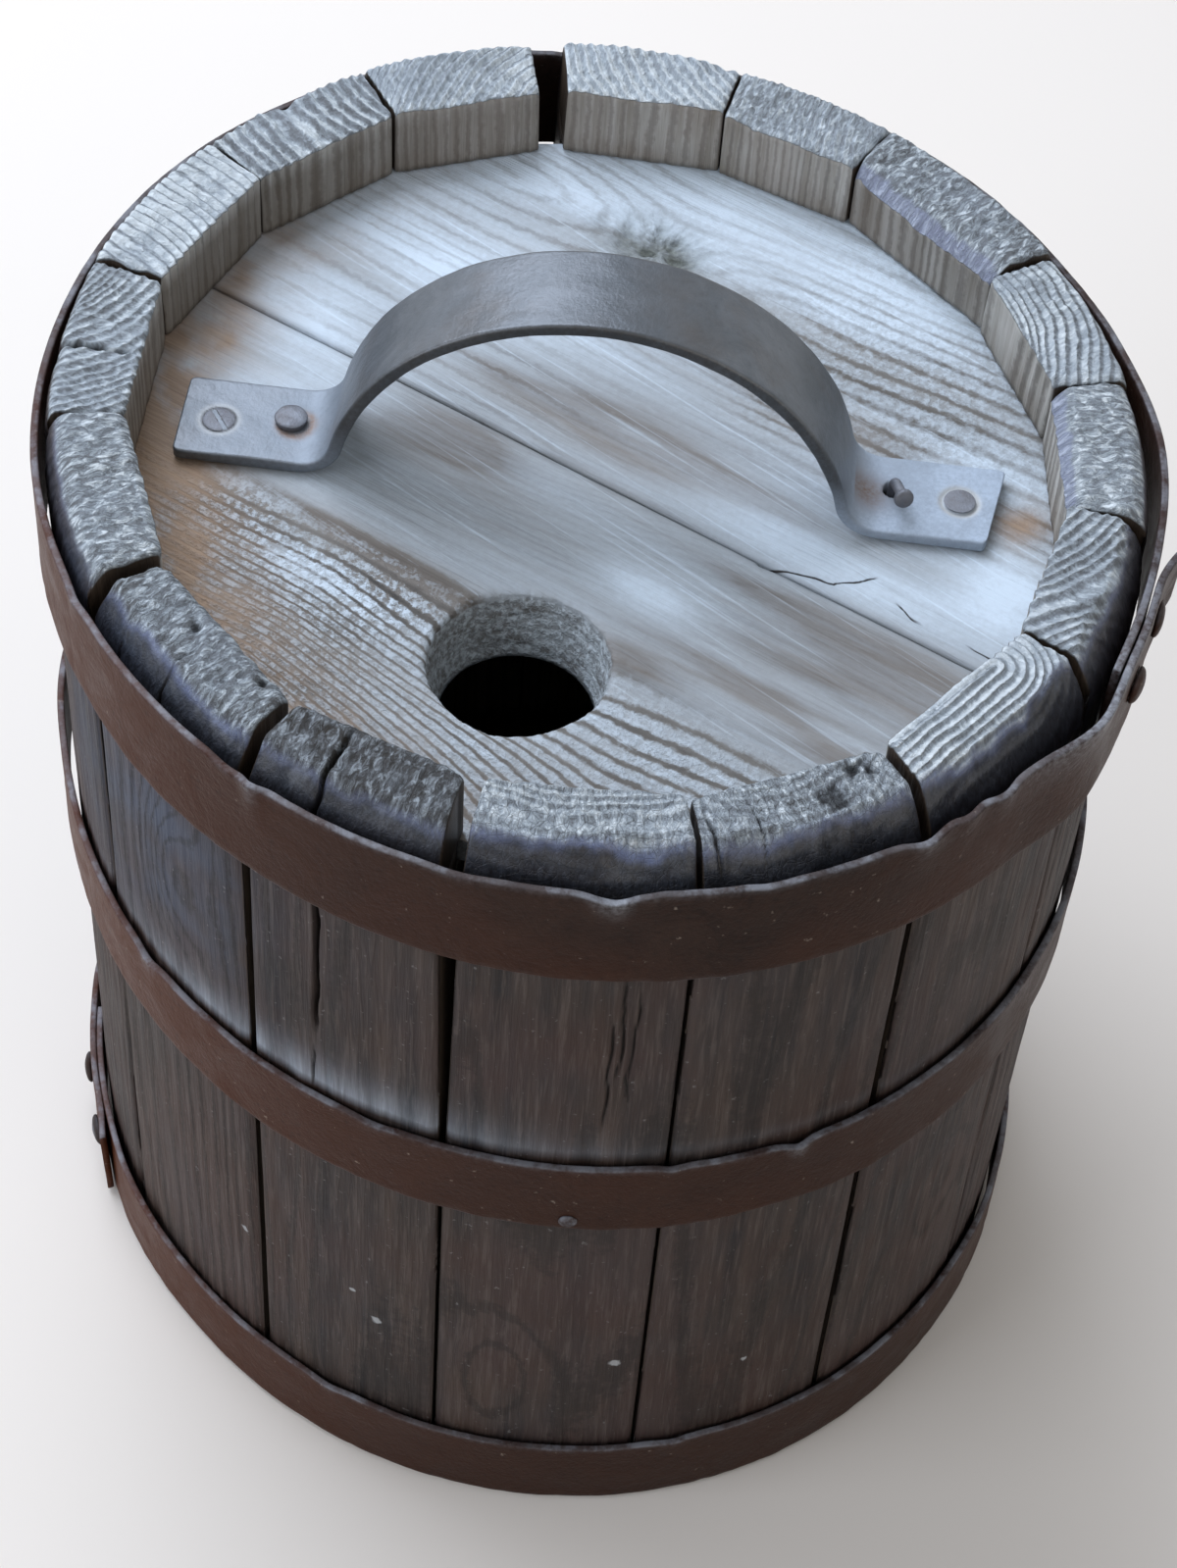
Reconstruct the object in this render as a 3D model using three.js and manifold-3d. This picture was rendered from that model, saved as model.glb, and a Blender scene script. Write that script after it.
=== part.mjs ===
// An old wine cask. Sixteen bevelled softwood staves stand in a cone that widens to the floor,
// drawn together by three lapped and riveted iron hoops. A boarded head sits in a groove at
// each end, the upper one with a bung hole and an iron strap handle.
// Millimetres, +Z up, origin on the floor at the middle of the cask.
import * as THREE from "three";
import { mergeVertices } from "three/addons/utils/BufferGeometryUtils.js";
import Module from "manifold-3d";

const wasm = await Module();
wasm.setup();

const { degToRad } = THREE.MathUtils;

// Cask body
const CASK_HEIGHT = 274;
const RIM_RADIUS = 126; // outer face of the staves at the rim
const FOOT_RADIUS = 130.7; // outer face of the staves at the floor
const STAVE_THICKNESS = 21; // at the middle of a stave, whose inner face is flat
const FOOT_BEVEL = 3;
const WEAR_STEEPNESS = 2; // a worn rim edge runs this many times further down than in
const WEAR_FLATNESS = 0.6; // how near the most worn rim edges are to a plain chamfer
const WEAR_ROUND = 4; // a rim edge worn less than this is fully round
const OUT_OF_ROUND = 0.025; // part of the radius gained on the long axis and lost across it
const LONG_AXIS = degToRad(-63.4);
const CLEARANCE = 0.3; // between pieces that seat on each other

// Staves, clockwise from the open joint at the back. Each has its share of the ring's width, the
// gap that has opened beside it at the rim, which closes towards the middle of the cask, the gap
// left from there to the floor, the wear of its outer rim edge and what it lacks in height.
const FIRST_JOINT = degToRad(96.2);
const STAVES = [
  { share: 47, gap: 0.5, footGap: 0.5, wear: 3, short: 0 },
  { share: 42, gap: 0.6, footGap: 0.5, wear: 3, short: 1.2 },
  { share: 55.5, gap: 0.8, footGap: 0.5, wear: 3.5, short: 0.8 },
  { share: 43.5, gap: 0.6, footGap: 0.5, wear: 4, short: 1.5 },
  { share: 44.5, gap: 0.6, footGap: 0.5, wear: 5, short: 1 },
  { share: 47, gap: 1.6, footGap: 0.8, wear: 7, short: 0.6 },
  { share: 53.5, gap: 2.2, footGap: 2, wear: 8, short: 0 },
  { share: 51.5, gap: 1.2, footGap: 1.2, wear: 8, short: 1.2 },
  { share: 50, gap: 5, footGap: 1.3, wear: 8, short: 0.4 },
  { share: 46.5, gap: 3, footGap: 2, wear: 7, short: 0.8 },
  { share: 53.5, gap: 3, footGap: 1.5, wear: 7, short: 1.6 },
  { share: 50, gap: 0.8, footGap: 0.5, wear: 5.5, short: 0.6 },
  { share: 51, gap: 1, footGap: 0.5, wear: 4, short: 1.4 },
  { share: 49.5, gap: 0.8, footGap: 0.5, wear: 3.5, short: 0.4 },
  { share: 47.5, gap: 0.8, footGap: 0.5, wear: 3, short: 1 },
  { share: 45, gap: 8.5, footGap: 0.5, wear: 3, short: 0.3 },
];

// Heads: flat boards with a bevelled inner edge whose tongue sits in the croze, a round groove
const UPPER_CHIME = 20; // from the rim down to the upper head
const LOWER_CHIME = 20; // from the floor up to the lower head
const HEAD_THICKNESS = 19;
const HEAD_TONGUE = 7;
const HEAD_BEVEL = 12;
const CROZE_DEPTH = 5;
const BOARD_JOINT = 0.8;
const UPPER_JOINT = { angle: degToRad(-29.7), offset: -2.7 };
const LOWER_JOINT = { angle: degToRad(62), offset: 5 };
const DOWEL_RADIUS = 4;
const DOWEL_LENGTH = 50;
const DOWEL_SPACING = 80;

// Bung hole, reamed to a taper in the nearer board of the upper head
const BUNG_RADIUS = 20;
const BUNG_TAPER = 2.5; // how much smaller its radius is on the inside
const BUNG_MARGIN = 22; // wood left between the hole and the staves
const BUNG_DIRECTION = degToRad(-102.8);

// Iron hoops, each a strip whose outer end laps over its inner end
const HOOP_THICKNESS = 1.8;
const HOOP_LAP = 42;
const HOOP_RAMP = 36; // length over which the outer end climbs onto the inner one
const UPPER_HOOP = { width: 29, drop: 6, lap: degToRad(-17.5) }; // drop: from the rim
const MIDDLE_HOOP = { width: 25, lift: 140, lap: degToRad(75) }; // lift: from the floor
const LOWER_HOOP = { width: 26.5, lift: 1.5, lap: degToRad(194) };
const RIVET_SHANK = 2.2;
const RIVET_HEAD = 4.4;
const RIVET_DOME = 2;
const RIVET_SPACING = 20;

// Strap handle, bent from one flat bar
const STRAP_WIDTH = 24;
const STRAP_THICKNESS = 3;
const HANDLE_RISE = 55; // from the head to the top of the arch
const HANDLE_INSET = 8.5; // from the end of a foot to the staves
const FOOT_LENGTH = 28; // flat part of a foot
const BEND_RADIUS = 8; // on the upper side of the strap, above each foot
const HANDLE_PLACE = { x: -1, y: -0.6 };
const HANDLE_TURN = degToRad(-3.2);

// Fasteners, each placed by its distance in from the end of its foot and across the strap
const FASTENER_COVER = 4; // wood left under a point
const SCREW = { inset: 8.8, across: -1, shank: 1.9, head: 3.7, cone: 2.2 };
const SCREW_SLOT = { width: 1.1, depth: 1, turn: degToRad(-56) };
const PROUD_NAIL = { inset: 25, across: 1, shank: 1.9, head: 3.7, thickness: 2.2 };
const FLUSH_NAIL = { inset: 10.3, across: 0, shank: 1.9, head: 3.5, thickness: 1.6 };
const BENT_NAIL = { inset: 25.6, across: 1.3, shank: 1.25, head: 2.1, thickness: 1.2, hole: 2.3 };
const BENT_NAIL_BEND = 3.2; // size of the bend above the strap
const BENT_NAIL_TAIL = { x: 2, y: -7.5, z: 2.6 }; // from the bend to the nail's head

// Facets, and how far a cutter reaches past what it cuts
const ROUND_SEGMENTS = 96;
const HOOP_STEP = degToRad(5);
const HOLE_SEGMENTS = 16;
const BUNG_SEGMENTS = 40;
const ARC_SEGMENTS = 12;
const OVERCUT = 5;

// Finishes
const finish = (color, roughness, metalness) =>
  new THREE.MeshStandardMaterial({ color, roughness, metalness });
const staveWood = finish(0x4a3f38, 0.85, 0);
const headWood = finish(0x8b8c90, 0.9, 0);
const dowelWood = finish(0x9a7b55, 0.8, 0);
const hoopIron = finish(0x3b2c27, 0.7, 0.6);
const handleIron = finish(0x5a5d63, 0.55, 0.8);

// Levels and radii that the pieces share
const upperHoopLift = CASK_HEIGHT - UPPER_HOOP.drop - UPPER_HOOP.width;
const upperHeadLevel = CASK_HEIGHT - UPPER_CHIME;
const lowerHeadLevel = LOWER_CHIME;
const outerRadius = (z) => FOOT_RADIUS + ((RIM_RADIUS - FOOT_RADIUS) * z) / CASK_HEIGHT;
const innerFlat = (z) => outerRadius(z) - STAVE_THICKNESS;
const crozeRadius = (z) => innerFlat(z) + CROZE_DEPTH;
const narrowWall = innerFlat(upperHeadLevel) * (1 - OUT_OF_ROUND);

// The cask has sunk out of round: it is longer along one axis and as much shorter across it.
const stretch = OUT_OF_ROUND * Math.cos(2 * LONG_AXIS);
const skew = OUT_OF_ROUND * Math.sin(2 * LONG_AXIS);
const oval = new THREE.Matrix4().set(
  1 + stretch, skew, 0, 0,
  skew, 1 - stretch, 0, 0,
  0, 0, 1, 0,
  0, 0, 0, 1,
);

// A closed geometry as a solid that can be joined and cut.
function solidOf(geometry) {
  const bare = new THREE.BufferGeometry();
  bare.setAttribute("position", geometry.getAttribute("position"));
  bare.setIndex(geometry.index);
  const merged = mergeVertices(bare);
  return new wasm.Manifold(
    new wasm.Mesh({
      numProp: 3,
      vertProperties: merged.getAttribute("position").array,
      triVerts: new Uint32Array(merged.index.array),
    }),
  );
}

function geometryOf(solid) {
  const { vertProperties, triVerts } = solid.getMesh();
  const geometry = new THREE.BufferGeometry();
  geometry.setAttribute("position", new THREE.BufferAttribute(vertProperties, 3));
  geometry.setIndex(new THREE.BufferAttribute(triVerts, 1));
  return geometry;
}

function piece(name, geometry, material) {
  const mesh = new THREE.Mesh(geometry, material);
  mesh.name = name;
  return mesh;
}

// A profile of [radius, height] corners, anticlockwise, turned about the Z axis.
function turned(corners, segments = ROUND_SEGMENTS) {
  const points = corners.map(([radius, height]) => new THREE.Vector2(radius, height));
  return new THREE.LatheGeometry(points, segments).rotateX(Math.PI / 2);
}

// A ring of rectangular section, for cutting grooves.
function groove(inner, outer, low, high) {
  return turned([[inner, low], [outer, low], [outer, high], [inner, high], [inner, low]]);
}

// A round bar along Z from low to high.
function bar(radius, low, high) {
  const height = high - low;
  return new THREE.CylinderGeometry(radius, radius, height, HOLE_SEGMENTS)
    .rotateX(Math.PI / 2)
    .translate(0, 0, low + height / 2);
}

// Outline of a stave's end and outer face, for a ring in which every stave is alike. The worn
// edge lies between a quarter ellipse and a chamfer.
function staveProfile({ wear, short }) {
  const top = CASK_HEIGHT - short;
  const wearLow = top - WEAR_STEEPNESS * wear;
  const bore = RIM_RADIUS - STAVE_THICKNESS - CROZE_DEPTH;
  const outer = new THREE.Vector2(outerRadius(wearLow), wearLow);
  const inner = new THREE.Vector2(outer.x - wear, top);
  const round = new THREE.EllipseCurve(inner.x, outer.y, wear, top - wearLow, 0, Math.PI / 2);
  const chamfer = new THREE.LineCurve(outer, inner);
  const flatness = WEAR_FLATNESS * THREE.MathUtils.smoothstep(wear, WEAR_ROUND, 2 * WEAR_ROUND);
  const edge = round.getPoints(5).map((point, i) => point.lerp(chamfer.getPoint(i / 5), flatness));
  return [
    [bore, 0],
    [outerRadius(0) - FOOT_BEVEL, 0],
    [outerRadius(FOOT_BEVEL), FOOT_BEVEL],
    ...edge.map((point) => [point.x, point.y]),
    [bore, top],
    [bore, 0],
  ];
}

// Angles of both joints of every stave, at the rim and at the floor.
function jointAngles() {
  const turn = (length) => length / RIM_RADIUS;
  const closing = STAVES.map(({ gap, footGap }) => turn(gap - footGap) / 2);
  const free = 2 * Math.PI - STAVES.reduce((sum, { gap }) => sum + turn(gap), 0);
  const shares = STAVES.reduce((sum, { share }) => sum + share, 0);
  let from = FIRST_JOINT;
  return STAVES.map(({ share, gap }, index) => {
    const to = from - (share / shares) * free;
    const rim = { from, to };
    const floor = { from: from + closing.at(index - 1), to: to - closing[index] };
    from = to - turn(gap);
    return { rim, floor };
  });
}

const onCircle = (radius, angle) =>
  new THREE.Vector2(Math.cos(angle), Math.sin(angle)).multiplyScalar(radius);

// The wedge of the ring between two joints. Each is flat from the rim to the middle of the cask,
// where it has reached its floor angle, and upright below.
function wedge(rim, floor) {
  const [from, to] = ["from", "to"].map((side) => {
    const top = onCircle(RIM_RADIUS, rim[side]);
    const across = onCircle(RIM_RADIUS / 2, floor[side]);
    return {
      inner: top.clone().sub(across),
      outer: top.clone().add(across),
      lean: onCircle(RIM_RADIUS, floor[side]).sub(top),
    };
  });
  const depth = CASK_HEIGHT + 2 * OVERCUT;
  const shape = new THREE.Shape([from.inner, from.outer, to.outer, to.inner]);
  const prism = new THREE.ExtrudeGeometry(shape, { depth, steps: 2, bevelEnabled: false });
  const position = prism.translate(0, 0, -OVERCUT).getAttribute("position");
  const facing = onCircle(1, (rim.from + rim.to) / 2);
  for (let i = 0; i < position.count; i++) {
    if (position.getZ(i) < CASK_HEIGHT) {
      const place = new THREE.Vector2().fromBufferAttribute(position, i);
      const { lean } = facing.cross(place) > 0 ? from : to;
      position.setXY(i, place.x + lean.x, place.y + lean.y);
    }
  }
  return prism;
}

// All that lies inside the flat inner face of a stave whose middle is at this angle.
function insideOfFlat(angle) {
  const low = -OVERCUT;
  const high = CASK_HEIGHT + OVERCUT;
  const shape = new THREE.Shape();
  shape.moveTo(0, low);
  shape.lineTo(innerFlat(low), low);
  shape.lineTo(innerFlat(high), high);
  shape.lineTo(0, high);
  const depth = 2 * FOOT_RADIUS;
  return new THREE.ExtrudeGeometry(shape, { depth, bevelEnabled: false })
    .translate(0, 0, -depth / 2)
    .rotateX(Math.PI / 2)
    .rotateZ(angle);
}

function crozeCutter(level, inwards) {
  const ends = [level - inwards * CLEARANCE, level + inwards * (HEAD_TONGUE + CLEARANCE)];
  return solidOf(groove(RIM_RADIUS / 2, crozeRadius(level), Math.min(...ends), Math.max(...ends)));
}

function buildStaves() {
  const group = new THREE.Group();
  const crozes = crozeCutter(upperHeadLevel, -1).add(crozeCutter(lowerHeadLevel, 1));
  const angles = jointAngles();
  STAVES.forEach((stave, index) => {
    const { rim, floor } = angles[index];
    const ring = solidOf(turned(staveProfile(stave)));
    const blank = ring.intersect(solidOf(wedge(rim, floor)));
    const solid = blank.subtract(solidOf(insideOfFlat((floor.from + floor.to) / 2))).subtract(crozes);
    const name = `stave_${String(index + 1).padStart(2, "0")}`;
    group.add(piece(name, geometryOf(solid).applyMatrix4(oval), staveWood));
  });
  return group;
}

// One strip wound once round the cask and on over its own beginning, flaring with the staves.
function hoopStrip({ lift, width, lap }) {
  const middle = lift + width / 2;
  const inner = outerRadius(middle) + CLEARANCE;
  const climb = HOOP_THICKNESS + CLEARANCE;
  const lapAngle = HOOP_LAP / inner;
  const rampAngle = HOOP_RAMP / inner;
  const total = 2 * Math.PI + lapAngle;
  const steps = Math.ceil(total / HOOP_STEP);
  const start = lap - lapAngle / 2;
  const side = [];
  for (let i = 0; i <= steps; i++) {
    const turn = (total * i) / steps;
    const rise = THREE.MathUtils.smoothstep(turn, 2 * Math.PI - rampAngle, 2 * Math.PI - HOOP_STEP);
    side.push({ angle: start + turn, radius: inner + climb * rise });
  }
  const outline = [
    ...side.map(({ angle, radius }) => onCircle(radius + HOOP_THICKNESS, angle)),
    ...side.map(({ angle, radius }) => onCircle(radius, angle)).reverse(),
  ];
  const strip = new THREE.ExtrudeGeometry(new THREE.Shape(outline), {
    depth: width,
    bevelEnabled: false,
  }).translate(0, 0, lift);
  const position = strip.getAttribute("position");
  for (let i = 0; i < position.count; i++) {
    const radius = Math.hypot(position.getX(i), position.getY(i));
    const flare = 1 + (outerRadius(position.getZ(i)) - outerRadius(middle)) / radius;
    position.setXY(i, position.getX(i) * flare, position.getY(i) * flare);
  }
  return strip;
}

// A round-headed rivet along Z: its shank starts at 0 and its head sits on the given height.
function rivet(seat) {
  const dome = new THREE.EllipseCurve(0, seat, RIVET_HEAD, RIVET_DOME, 0, Math.PI / 2);
  return turned(
    [
      [0, 0],
      [RIVET_SHANK, 0],
      [RIVET_SHANK, seat],
      ...dome.getPoints(4).map((point) => [point.x, point.y]),
    ],
    HOLE_SEGMENTS,
  );
}

function buildHoops() {
  const group = new THREE.Group();
  const hoops = [
    { name: "upper_hoop", ...UPPER_HOOP, lift: upperHoopLift },
    { name: "middle_hoop", ...MIDDLE_HOOP },
    { name: "lower_hoop", ...LOWER_HOOP },
  ];
  for (const hoop of hoops) {
    const level = hoop.lift + hoop.width / 2;
    const inner = outerRadius(level) + CLEARANCE;
    const seat = 2 * HOOP_THICKNESS + 2 * CLEARANCE;
    const outwards = (geometry, angle) =>
      geometry
        .rotateY(Math.PI / 2)
        .translate(inner, 0, level)
        .rotateZ(angle);
    let strip = solidOf(hoopStrip(hoop));
    [-1, 1].forEach((end, index) => {
      const angle = hoop.lap + (end * RIVET_SPACING) / 2 / inner;
      const hole = bar(RIVET_SHANK + CLEARANCE, -seat, 2 * seat);
      strip = strip.subtract(solidOf(outwards(hole, angle)));
      const name = `${hoop.name}_rivet_${index + 1}`;
      group.add(piece(name, outwards(rivet(seat), angle).applyMatrix4(oval), hoopIron));
    });
    group.add(piece(hoop.name, geometryOf(strip).applyMatrix4(oval), hoopIron));
  }
  return group;
}

// A whole head, its outer face at level 0 looking up and its bevelled side below.
function headDisc(level) {
  const edge = crozeRadius(level) - CLEARANCE;
  const wall = innerFlat(level) - CLEARANCE;
  return turned([
    [0, -HEAD_THICKNESS],
    [wall - HEAD_BEVEL, -HEAD_THICKNESS],
    [wall, -HEAD_TONGUE],
    [edge, -HEAD_TONGUE],
    [edge, 0],
    [0, 0],
  ]);
}

// Everything on one side of a board joint, side being 1 or -1.
function boardSide({ angle, offset }, side) {
  const size = 3 * FOOT_RADIUS;
  return new THREE.BoxGeometry(size, size, 2 * CASK_HEIGHT)
    .translate(0, offset + (side * (size + BOARD_JOINT)) / 2, 0)
    .rotateZ(angle);
}

// A round bar across a board joint, at one of the two dowel places.
function crossBar({ angle, offset }, along, level, radius, length) {
  return new THREE.CylinderGeometry(radius, radius, length, HOLE_SEGMENTS)
    .translate((along * DOWEL_SPACING) / 2, offset, level)
    .rotateZ(angle);
}

// The two boards of a head and the dowels between them, with holes cut through the boards.
function buildHead(name, disc, level, joint, boardNames, holes) {
  const group = new THREE.Group();
  const bores = [-1, 1].map((along) =>
    solidOf(crossBar(joint, along, level, DOWEL_RADIUS + CLEARANCE, DOWEL_LENGTH + 2 * CLEARANCE)),
  );
  const whole = [...bores, ...holes].reduce((solid, hole) => solid.subtract(hole), solidOf(disc));
  boardNames.forEach((board, index) => {
    const side = solidOf(boardSide(joint, index ? 1 : -1));
    group.add(piece(`${name}_${board}_board`, geometryOf(whole.intersect(side)), headWood));
  });
  [-1, 1].forEach((along, index) => {
    const dowel = crossBar(joint, along, level, DOWEL_RADIUS, DOWEL_LENGTH);
    group.add(piece(`${name}_dowel_${index + 1}`, dowel, dowelWood));
  });
  return group;
}

function bungHole() {
  const distance = narrowWall - BUNG_MARGIN - BUNG_RADIUS;
  const taper = BUNG_TAPER / HEAD_THICKNESS;
  const top = BUNG_RADIUS + taper * CLEARANCE;
  const bottom = BUNG_RADIUS - BUNG_TAPER - taper * CLEARANCE;
  const height = HEAD_THICKNESS + 2 * CLEARANCE;
  return new THREE.CylinderGeometry(top, bottom, height, BUNG_SEGMENTS)
    .rotateX(Math.PI / 2)
    .translate(distance, 0, upperHeadLevel - HEAD_THICKNESS / 2)
    .rotateZ(BUNG_DIRECTION);
}

// Handle, in its own frame: X along the strap, Z up from the underside of its feet
const footEnd = narrowWall - HANDLE_INSET;
const bendPlace = footEnd - FOOT_LENGTH;

// Side view of the strap: an arch that meets each foot in a bend, tangent to both.
function handleShape() {
  const bendLevel = STRAP_THICKNESS + BEND_RADIUS;
  const drop = HANDLE_RISE - bendLevel;
  const arch = (bendPlace ** 2 + drop ** 2 - BEND_RADIUS ** 2) / (2 * (BEND_RADIUS + drop));
  const archLevel = HANDLE_RISE - arch;
  const lean = Math.atan2(bendLevel - archLevel, bendPlace);
  const outerBend = BEND_RADIUS + STRAP_THICKNESS;
  const down = -Math.PI / 2;
  return new THREE.Shape()
    .moveTo(footEnd, 0)
    .lineTo(footEnd, STRAP_THICKNESS)
    .lineTo(bendPlace, STRAP_THICKNESS)
    .absarc(bendPlace, bendLevel, BEND_RADIUS, down, Math.PI + lean, true)
    .absarc(0, archLevel, arch, lean, Math.PI - lean, false)
    .absarc(-bendPlace, bendLevel, BEND_RADIUS, -lean, down, true)
    .lineTo(-footEnd, STRAP_THICKNESS)
    .lineTo(-footEnd, 0)
    .lineTo(-bendPlace, 0)
    .absarc(-bendPlace, bendLevel, outerBend, down, -lean, false)
    .absarc(0, archLevel, arch - STRAP_THICKNESS, Math.PI - lean, lean, true)
    .absarc(bendPlace, bendLevel, outerBend, Math.PI + lean, down, false);
}

// A fastener along Z whose seat on the strap is at 0: an outline of its head, then its shank.
const fastenerReach = STRAP_THICKNESS + HEAD_THICKNESS - FASTENER_COVER;

function pointedShank(shank) {
  return [
    [0, -fastenerReach],
    [shank, 2 * shank - fastenerReach],
  ];
}

function screwGeometry({ shank, head, cone }) {
  const { width, depth, turn } = SCREW_SLOT;
  const body = turned([...pointedShank(shank), [shank, -cone], [head, 0], [0, 0]], HOLE_SEGMENTS);
  const slot = new THREE.BoxGeometry(3 * head, width, 2 * depth).rotateZ(turn);
  return geometryOf(solidOf(body).subtract(solidOf(slot)));
}

function nailGeometry({ shank, head, thickness }) {
  return turned(
    [...pointedShank(shank), [shank, 0], [head, 0], [head, thickness], [0, thickness]],
    HOLE_SEGMENTS,
  );
}

// The pulled nail: straight through the strap, then bent over with its head in the air.
function bentNailGeometry({ shank, head, thickness }) {
  const knee = new THREE.Vector3(0, 0, BENT_NAIL_BEND);
  const tail = new THREE.Vector3(BENT_NAIL_TAIL.x, BENT_NAIL_TAIL.y, BENT_NAIL_TAIL.z);
  const lean = tail.clone().normalize();
  const path = new THREE.CurvePath();
  const bendStart = knee.clone().setZ(BENT_NAIL_BEND / 4);
  const bendEnd = knee.clone().addScaledVector(lean, BENT_NAIL_BEND * 0.75);
  const end = knee.clone().add(tail);
  path.add(new THREE.LineCurve3(new THREE.Vector3(0, 0, -fastenerReach), bendStart));
  path.add(new THREE.QuadraticBezierCurve3(bendStart, knee, bendEnd));
  path.add(new THREE.LineCurve3(bendEnd, end));
  const section = new THREE.Shape().absarc(0, 0, shank, 0, 2 * Math.PI, false);
  const wire = new THREE.ExtrudeGeometry(section, {
    steps: 18,
    curveSegments: 5,
    bevelEnabled: false,
    extrudePath: path,
  });
  const facing = new THREE.Quaternion().setFromUnitVectors(new THREE.Vector3(0, 0, 1), lean);
  const cap = bar(head, -thickness / 2, thickness / 2)
    .applyQuaternion(facing)
    .translate(end.x, end.y, end.z);
  return geometryOf(solidOf(wire).add(solidOf(cap)));
}

const fasteners = [
  {
    name: "left_foot_screw",
    side: -1,
    ...SCREW,
    seat: STRAP_THICKNESS,
    geometry: screwGeometry(SCREW),
    hole: turned(
      [
        [0, -2 * STRAP_THICKNESS],
        [SCREW.shank + CLEARANCE, -2 * STRAP_THICKNESS],
        [SCREW.shank + CLEARANCE, -SCREW.cone],
        [SCREW.head + CLEARANCE, 0],
        [SCREW.head + CLEARANCE, STRAP_THICKNESS],
        [0, STRAP_THICKNESS],
      ],
      HOLE_SEGMENTS,
    ),
  },
  {
    name: "left_foot_nail",
    side: -1,
    ...PROUD_NAIL,
    seat: STRAP_THICKNESS + CLEARANCE,
    geometry: nailGeometry(PROUD_NAIL),
    hole: bar(PROUD_NAIL.shank + CLEARANCE, -2 * STRAP_THICKNESS, STRAP_THICKNESS),
  },
  {
    name: "right_foot_bent_nail",
    side: 1,
    ...BENT_NAIL,
    seat: STRAP_THICKNESS,
    geometry: bentNailGeometry(BENT_NAIL),
    hole: bar(BENT_NAIL.hole, -2 * STRAP_THICKNESS, STRAP_THICKNESS),
  },
  {
    name: "right_foot_nail",
    side: 1,
    ...FLUSH_NAIL,
    seat: STRAP_THICKNESS - FLUSH_NAIL.thickness,
    geometry: nailGeometry(FLUSH_NAIL),
    hole: geometryOf(
      solidOf(bar(FLUSH_NAIL.shank + CLEARANCE, -2 * STRAP_THICKNESS, STRAP_THICKNESS)).add(
        solidOf(bar(FLUSH_NAIL.head + CLEARANCE, -CLEARANCE, STRAP_THICKNESS)),
      ),
    ),
  },
].map((fastener) => ({ ...fastener, along: fastener.side * (footEnd - fastener.inset) }));

// The handle's frame on the upper head.
const handleFrame = new THREE.Group();
handleFrame.position.set(HANDLE_PLACE.x, HANDLE_PLACE.y, upperHeadLevel + CLEARANCE);
handleFrame.rotation.z = HANDLE_TURN;
handleFrame.updateMatrixWorld(true);

function buildHandle() {
  const strap = new THREE.ExtrudeGeometry(handleShape(), {
    depth: STRAP_WIDTH,
    bevelEnabled: false,
    curveSegments: ARC_SEGMENTS,
  })
    .translate(0, 0, -STRAP_WIDTH / 2)
    .rotateX(Math.PI / 2);
  let solid = solidOf(strap);
  for (const { name, along, across, seat, geometry, hole } of fasteners) {
    solid = solid.subtract(solidOf(hole.translate(along, across, seat)));
    const mesh = piece(name, geometry, handleIron);
    mesh.position.set(along, across, seat);
    handleFrame.add(mesh);
  }
  handleFrame.add(piece("strap_handle", geometryOf(solid), handleIron));
  return handleFrame;
}

// Holes that the fasteners made in the upper head, with room for their points.
function pilotHoles() {
  return fasteners.map(({ along, across, shank, seat }) =>
    solidOf(
      bar(shank + CLEARANCE, -fastenerReach - CLEARANCE, 0)
        .translate(along, across, seat)
        .applyMatrix4(handleFrame.matrixWorld),
    ),
  );
}

function buildHeads() {
  const group = new THREE.Group();
  const upperDisc = headDisc(upperHeadLevel).applyMatrix4(oval).translate(0, 0, upperHeadLevel);
  const lowerDisc = headDisc(lowerHeadLevel)
    .rotateX(Math.PI)
    .applyMatrix4(oval)
    .translate(0, 0, lowerHeadLevel);
  const upperMiddle = upperHeadLevel - HEAD_THICKNESS / 2;
  const lowerMiddle = lowerHeadLevel + HEAD_THICKNESS / 2;
  const upperHoles = [solidOf(bungHole()), ...pilotHoles()];
  group.add(
    buildHead("upper_head", upperDisc, upperMiddle, UPPER_JOINT, ["front", "back"], upperHoles),
    buildHead("lower_head", lowerDisc, lowerMiddle, LOWER_JOINT, ["right", "left"], []),
  );
  return group;
}

const cask = new THREE.Group();
cask.add(buildStaves(), buildHoops(), buildHeads(), buildHandle());

export default cask;
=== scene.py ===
# An old wine cask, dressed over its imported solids: weathered staves, rusty hoops, iron handle.
# Sizes are in millimetres, as in the solids, and each mesh is made in metres.
import itertools
import math

import bmesh
import bpy
import numpy as np
from mathutils import Matrix, Vector


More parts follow.
